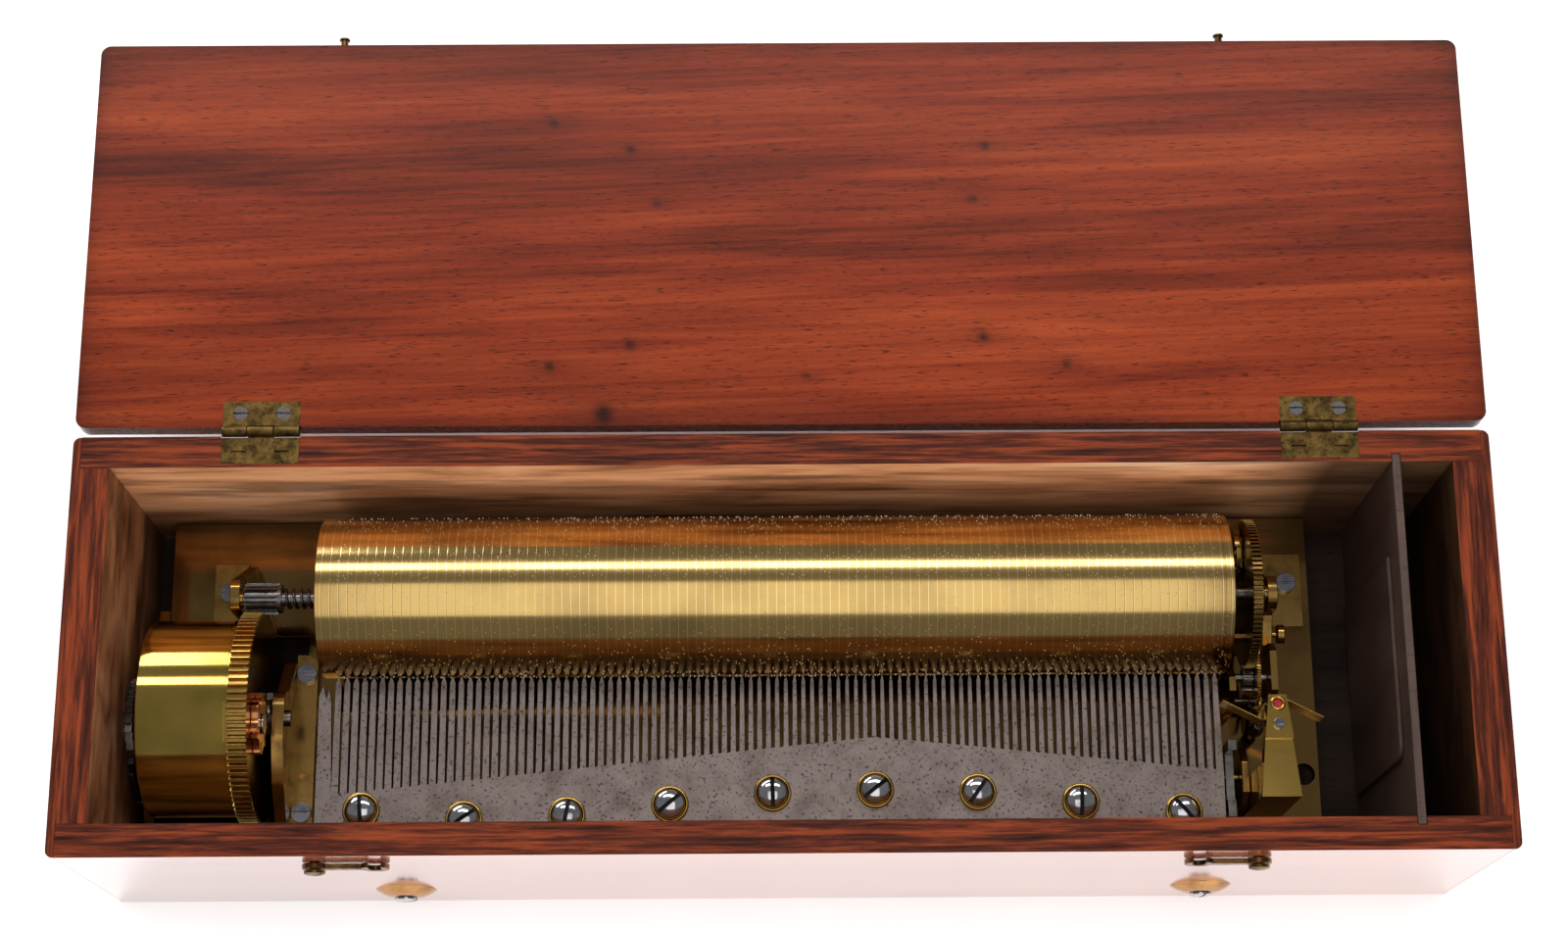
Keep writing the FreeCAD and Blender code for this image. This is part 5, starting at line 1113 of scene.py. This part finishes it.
@dataclass
class Cylinder:
    """The pinned cylinder with its arbor, wheel, return spring and tune snail, in millimetres.

    Pins fall on beats round the tube, each off by a small unevenness, and chord_share of them only on every
    chord_beats-th beat. They use turn_used of the turn, so a gap is left between a tune's end and its start.
    """

    pin_radius: float = 0.16
    pin_rise: float = 0.24
    pin_root: float = 0.3
    pin_corner: float = 0.8
    pin_taper: float = 0.85
    teeth: int = 101
    tunes: int = 6
    tune_step: float = 0.4
    tune_lag: float = 0.02
    first_tooth: float = -130.42
    pitch: float = 2.573
    pins_per_track: float = 8.2
    beats: int = 96
    chord_beats: int = 4
    chord_share: float = 0.35
    unevenness: float = 0.35
    turn_used: float = 0.94
    seed: int = 17
    segments: int = 256
    tube_length: float = 265.5
    cap_length: float = 3.1
    bore: float = 2.25
    hub_radius: float = 3.6
    hub_foot: float = 4.2
    dish: float = 0.2
    rim: float = 1.4
    edge: float = 0.25
    plain_start: float = 1.5
    groove_start: float = 3.2
    groove_steps: tuple[float, float, float] = (0.1, 0.4, 0.5)
    groove_depth: float = 0.18
    follower: tuple[float, float] = (0.8, 0.55)
    follower_offset: float = 7.5
    follower_root: float = 0.3

    def build(self) -> None:
        """Builds the tube and its pins and dresses the rest."""
        self.tube()
        self.pins()
        eased("cylinder_arbor", Finish.SHAFT_STEEL.made(), 0.0)
        eased("drive_pinion", Finish.SHAFT_STEEL.made(), 0.06, 1)
        eased("cylinder_wheel", Finish.AGED_WHEEL.made(), 0.05, 1)
        self.spring()
        eased("tune_snail", Finish.AGED_WHEEL.made(), 0.06, 1)
        eased("change_finger", Finish.CAST_BRASS.made(), 0.3)

    def spring(self) -> None:
        """The coiled return spring, given a mesh of its own; it keeps its shape, though the real one shortens
        towards its left end as the cylinder shifts.
        """
        coil = eased("return_spring", Finish.SPRING_STEEL.made(), 0.0, smooth_angle=60.0)
        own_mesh(coil)

    def tube(self) -> None:
        """The brass tube: its ends carry a turned step, a rounded edge and a shallow groove."""
        low, high = corner("cylinder", 0), corner("cylinder", 1)
        radius = (high[2] - low[2]) / 2
        left = low[0] + self.cap_length
        right = left + self.tube_length
        groove, cut = right - self.groove_start, radius - self.groove_depth
        down, along, up = (groove + step for step in self.groove_steps)
        cap, dish, edge, hub = left - self.cap_length, self.dish, self.edge, self.hub_radius
        rim = radius - self.rim
        centre = (0.0, middle("cylinder")[1], middle("cylinder")[2])
        profile = [(cap, self.bore), (cap, hub - dish), (cap + dish, hub), (left, hub),
                   (left + dish, self.hub_foot), (left + dish, rim - dish), (left, rim),
                   (left, radius - edge), (left + edge, radius)]
        profile += [(x, radius) for x in np.linspace(left + self.plain_start, groove, 60)]
        profile += [(down, cut), (along, cut), (up, radius), (right - edge, radius), (right, radius - edge),
                    (right, rim), (right - dish, rim - dish), (right - dish, self.bore)]
        points, faces = turned(profile, self.segments)
        piece = finish_piece("pinned_tube", stood(points, centre, Axis.X), faces, Finish.CYLINDER.made(),
                             "cylinder_body", 30.0)
        stand_for("cylinder")
        root, tip = right - self.follower_root, high[0] - edge
        wide, narrow = self.follower
        follower, follower_faces = turned([(root, 0), (root, wide), (tip, wide), (high[0], narrow),
                                           (high[0], 0)], 20)
        follower = stood(follower, (0.0, centre[1] + self.follower_offset, centre[2]), Axis.X)
        pin = finish_piece("snail_follower", follower, follower_faces, Finish.POLISHED_STEEL.made(),
                           "cylinder_body")

    def pins(self) -> None:
        """Thousands of cropped wire pins, six tracks for each tooth, set in rows by beat and melody.

        A pin is a four-sided prism, narrower at its tip, that stands on the tube at angle a and place x.
        """
        rng = np.random.default_rng(self.seed)
        centre = middle("cylinder")
        radius = (corner("cylinder", 1)[2] - corner("cylinder", 0)[2]) / 2
        count = int(self.teeth * self.tunes * self.pins_per_track)
        tooth = rng.integers(0, self.teeth, count)
        tune = rng.integers(0, self.tunes, count)
        beat = rng.integers(0, self.beats, count)
        chord = rng.random(count) < self.chord_share
        beat = np.where(chord, (beat // self.chord_beats) * self.chord_beats, beat)
        beat = beat + self.unevenness * rng.standard_normal(count)
        angle = beat / self.beats * 2 * np.pi * self.turn_used + self.tune_lag * tune
        x = self.first_tooth + (tooth + 0.5) * self.pitch + (tune - (self.tunes - 1) / 2) * self.tune_step
        spread = np.array([[-1, -1], [1, -1], [1, 1], [-1, 1]]) * self.pin_radius * self.pin_corner
        ring = np.arange(4)
        side = spread[:, 0][None, :] + x[:, None]
        turn = angle[:, None] + spread[:, 1][None, :] / radius
        layers = []
        for reach, taper in ((radius - self.pin_root, 1.0), (radius + self.pin_rise, self.pin_taper)):
            a = angle[:, None] + (turn - angle[:, None]) * taper
            s = x[:, None] + (side - x[:, None]) * taper
            back, height = centre[1] + reach * np.cos(a), centre[2] + reach * np.sin(a)
            layers.append(np.stack([s, back, height], axis=-1))
        points = np.concatenate(layers, axis=1)
        walls = np.stack([ring, (ring + 1) % 4, (ring + 1) % 4 + 4, ring + 4], axis=-1)
        block = np.concatenate([walls, [[4, 5, 6, 7]], [[3, 2, 1, 0]]])
        faces = (block[None] + 8 * np.arange(count)[:, None, None]).reshape(-1, 4)
        piece = finish_piece("tune_pins", points, faces, Finish.PIN_STEEL.made(), "cylinder_body", 20.0)


@dataclass
class Barrel:
    """The spring barrel, its stop star and the winding work, in millimetres."""

    segments: int = 256
    bore: float = 4.05
    wall: float = 1.2
    cover: float = 1.8
    edge: float = 0.3
    groove: tuple[float, float] = (1.9, 3.2)
    groove_depth: float = 0.35
    plain: tuple[float, float] = (1.2, 1.4)
    step_length: float = 1.2
    step: float = 0.25

    def build(self) -> None:
        """Builds the turned drum and dresses the rest."""
        self.drum()
        eased("barrel_wheel", Finish.WHEEL.made(), 0.08, 1)
        eased("stop_star", Finish.COPPER.made(), 0.15)
        eased("star_screw", Finish.POLISHED_STEEL.made(), 0.12)
        dress(Finish.SPRING_STEEL.made(), "mainspring")
        for node in ("winding_arbor", "ratchet_wheel", "click"):
            eased(node, Finish.SHAFT_STEEL.made(), 0.1)

    def drum(self) -> None:
        """The drum, turned from a tube: a broken edge at its cover and a shallow step at the wheel."""
        low, high = corner("barrel_drum", 0), corner("barrel_drum", 1)
        centre = (0.0, middle("barrel_drum")[1], middle("barrel_drum")[2])
        radius = (high[2] - low[2]) / 2
        left, right = low[0], high[0]
        outer, inner = (radius - reach for reach in self.groove)
        floor, edge = left + self.groove_depth, self.edge
        lip, lining = right - self.step_length, radius - self.wall
        profile = [(left, self.bore), (left, inner), (floor, inner + edge), (floor, outer - edge),
                   (left, outer), (left, radius - edge), (left + edge, radius)]
        profile += [(x, radius) for x in np.linspace(left + self.plain[0], right - self.plain[1], 12)]
        profile += [(lip, radius), (lip, radius - self.step), (right, radius - self.step), (right, lining),
                    (left + self.cover, lining), (left + self.cover, self.bore)]
        points, faces = turned(profile, self.segments)
        piece = finish_piece("turned_drum", stood(points, centre, Axis.X), faces, Finish.DRUM.made(),
                             "barrel", 28.0)
        stand_for("barrel_drum")


@dataclass
class Governor:
    """The train to the air brake, with its endless screw and fly, and the stop lever, in millimetres."""

    thread_radius: float = 2.0
    thread_depth: float = 0.5
    thread_pitch: float = 1.26
    starts: int = 2
    thread_half: float = 6.0
    fade: float = 0.8
    root: float = 0.95
    shaft: float = 0.9
    pivot: float = 0.45
    pivot_heights: tuple[float, float] = (30.6, 70.2)
    around: int = 40
    along: int = 150

    def build(self) -> None:
        """Builds the endless screw and dresses the rest."""
        self.screw()
        for node in ("first_pinion", "second_pinion"):
            eased(node, Finish.SHAFT_STEEL.made(), 0.04, 1)
        for node in ("first_wheel", "worm_wheel"):
            eased(node, Finish.WHEEL.made(), 0.03, 1)
        eased("fly", Finish.FLY_BRASS.made(), 0.04, 1)
        eased("stop_lever", Finish.SHAFT_STEEL.made(), 0.25)

    def screw(self) -> None:
        """The endless screw: a surface of turn a and height z with two threads.

        The radius is R - depth x (0.5 - 0.5 cos(2 pi z / pitch - starts a)), which fades to the plain root at
        each end; the shaft and its pivots are turned.
        """
        low, high = corner("endless_screw", 0), corner("endless_screw", 1)
        x, y = middle("endless_screw")[:2]
        worm = middle("worm_wheel")[2]
        foot, top = worm - self.thread_half, worm + self.thread_half
        height, angle = np.meshgrid(np.linspace(foot, top, self.along),
                                    np.linspace(0, 2 * np.pi, self.around, endpoint=False), indexing="ij")
        wave = 0.5 - 0.5 * np.cos(2 * np.pi * (height / self.thread_pitch) - self.starts * angle)
        thread = self.thread_radius - self.thread_depth * wave
        share = np.clip(np.minimum(height - foot, top - height) / self.fade, 0, 1)
        radius = self.root + (thread - self.root) * share
        below, above = self.pivot_heights
        lower = np.array([(low[2], 0.0), (low[2], self.pivot), (below, self.pivot), (below, self.shaft),
                          (foot, self.shaft)])
        upper = np.array([(top, self.shaft), (above, self.shaft), (above, self.pivot), (high[2], self.pivot),
                          (high[2], 0.0)])
        all_height = np.concatenate([lower[:, 0], height[:, 0], upper[:, 0]])
        rings = np.concatenate([np.repeat(lower[:, 1:2], self.around, 1), radius,
                                np.repeat(upper[:, 1:2], self.around, 1)])
        turn = angle[0][None, :]
        points = np.stack([x + rings * np.cos(turn), y + rings * np.sin(turn),
                           np.broadcast_to(all_height[:, None], rings.shape)], axis=-1)
        piece = finish_piece("threaded_fly_shaft", points, quads(*rings.shape, False, True),
                             Finish.SHAFT_STEEL.made(), "fly_body", 60.0)
        stand_for("endless_screw")


@dataclass(frozen=True)
class Lamp:
    """One studio lamp: an even rectangle that faces the movement."""

    name: str
    place: tuple[float, float, float]
    wide: float
    tall: float
    radiance: float
    mirrored: bool = True
    aim: tuple[float, float, float] = (0.0, 0.0, 0.06)

    def hang(self) -> None:
        """Hangs the lamp; one that is not mirrored lights the box without being seen in its metal."""
        lamp = bpy.data.lights.new(self.name, "AREA")
        lamp.shape = "RECTANGLE"
        lamp.size, lamp.size_y = self.wide, self.tall
        lamp.energy = self.radiance * math.pi * self.wide * self.tall
        holder = bpy.data.objects.new(self.name, lamp)
        bpy.context.scene.collection.objects.link(holder)
        holder.location = self.place
        ray = np.array(self.aim) - np.array(self.place)
        holder.rotation_euler = (math.atan2(math.hypot(ray[0], ray[1]), -ray[2]), 0.0,
                                 math.atan2(ray[1], ray[0]) - math.pi / 2 if ray[:2].any() else 0.0)
        holder.visible_glossy = self.mirrored
        LOG.info("%s: %.1f W", self.name, lamp.energy)


@dataclass
class Studio:
    """A plain white floor, soft light from above and the camera over the box's front.

    eye is in millimetres, angles are in degrees, and lamps, floor and clip are in metres.
    """

    eye: tuple[float, float, float] = (-2.9, -181.4, 858.8)
    pitch: float = 73.18
    yaw: float = 0.86
    roll: float = 0.51
    lens_mm: float = 64.03275
    sensor_mm: float = 36.0
    clip: tuple[float, float] = (0.01, 20.0)
    floor_half: float = 4.0
    surround: float = 0.2
    lamps: tuple[Lamp, ...] = (
        Lamp("overhead_scrim", (0.0, 0.0, 1.8), 2.5, 2.5, 2.1, mirrored=False),
        Lamp("low_front_fill", (0.0, -1.1, 0.5), 1.4, 0.5, 5.0, mirrored=False),
        Lamp("front_panel", (0.0, -0.37, 1.39), 0.78, 1.2, 1.05),
        Lamp("rear_strip", (0.0, 0.72, 1.17), 1.2, 0.2, 5.5),
        Lamp("left_rear_panel", (-0.755, 1.10, 0.52), 0.8, 0.8, 4.5))

    def build(self) -> None:
        """Builds the floor, the lights and the camera."""
        self.floor()
        self.light()
        self.camera()

    def floor(self) -> None:
        """A large floor whose paper is white with the faintest mottling."""
        mesh = bpy.data.meshes.new("studio_floor")
        side = np.linspace(-self.floor_half, self.floor_half, 3)
        x, y = np.meshgrid(side, side, indexing="ij")
        points = np.stack([x, y, np.zeros_like(x)], axis=-1).reshape(-1, 3)
        mesh.from_pydata(points.tolist(), [], quads(3, 3, False, False).tolist())
        paper = bpy.data.objects.new("studio_floor", mesh)
        bpy.context.scene.collection.objects.link(paper)
        material, tree, shader, place = start_material("white_background_paper")
        mottle = stretched_noise(tree, place, (30.0, 30.0, 30.0), 2.0)
        white = add_ramp(tree, mottle, ((0.2, "fbfbfb"), (0.8, "ffffff")))
        tree.links.new(white, shader.inputs["Base Color"])
        shader.inputs["Roughness"].default_value = 0.9
        mesh.materials.append(material)

    def light(self) -> None:
        """Hangs the lamps inside a dim, even surround."""
        for lamp in self.lamps:
            lamp.hang()
        world = bpy.data.worlds.new("dim_surround")
        bpy.context.scene.world = world
        world.use_nodes = True
        sky = world.node_tree.nodes["Background"]
        sky.inputs["Color"].default_value = (1.0, 1.0, 1.0, 1.0)
        sky.inputs["Strength"].default_value = self.surround

    def camera(self) -> None:
        """Places the camera from its pitch, yaw and roll."""
        pitch, yaw, roll = (math.radians(a) for a in (self.pitch, self.yaw, self.roll))
        level = math.cos(pitch)
        forward = np.array([math.sin(yaw) * level, math.cos(yaw) * level, -math.sin(pitch)])
        right = np.cross(forward, [0, 0, 1])
        right /= np.linalg.norm(right)
        up = np.cross(right, forward)
        tilted = math.cos(roll) * right + math.sin(roll) * up
        head = -math.sin(roll) * right + math.cos(roll) * up
        lens = bpy.data.cameras.new("view")
        lens.sensor_width = self.sensor_mm
        lens.lens = self.lens_mm
        lens.clip_start, lens.clip_end = self.clip
        holder = bpy.data.objects.new("view", lens)
        bpy.context.scene.collection.objects.link(holder)
        matrix = np.eye(4)
        matrix[:3, 0], matrix[:3, 1], matrix[:3, 2] = tilted, head, -forward
        matrix[:3, 3] = np.array(self.eye) * MM
        holder.matrix_world = Matrix(matrix.tolist())
        bpy.context.scene.camera = holder
        bpy.context.scene.view_settings.view_transform = "Standard"


def main() -> None:
    """Builds every group in order."""
    logging.basicConfig(level=logging.INFO, format="%(name)s: %(message)s")
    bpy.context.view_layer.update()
    for group in (Case(), Lid(), Frame(), Comb(), Cylinder(), Barrel(), Governor(), Studio()):
        LOG.info("building %s", type(group).__name__)
        group.build()


if __name__ == "__main__":
    main()
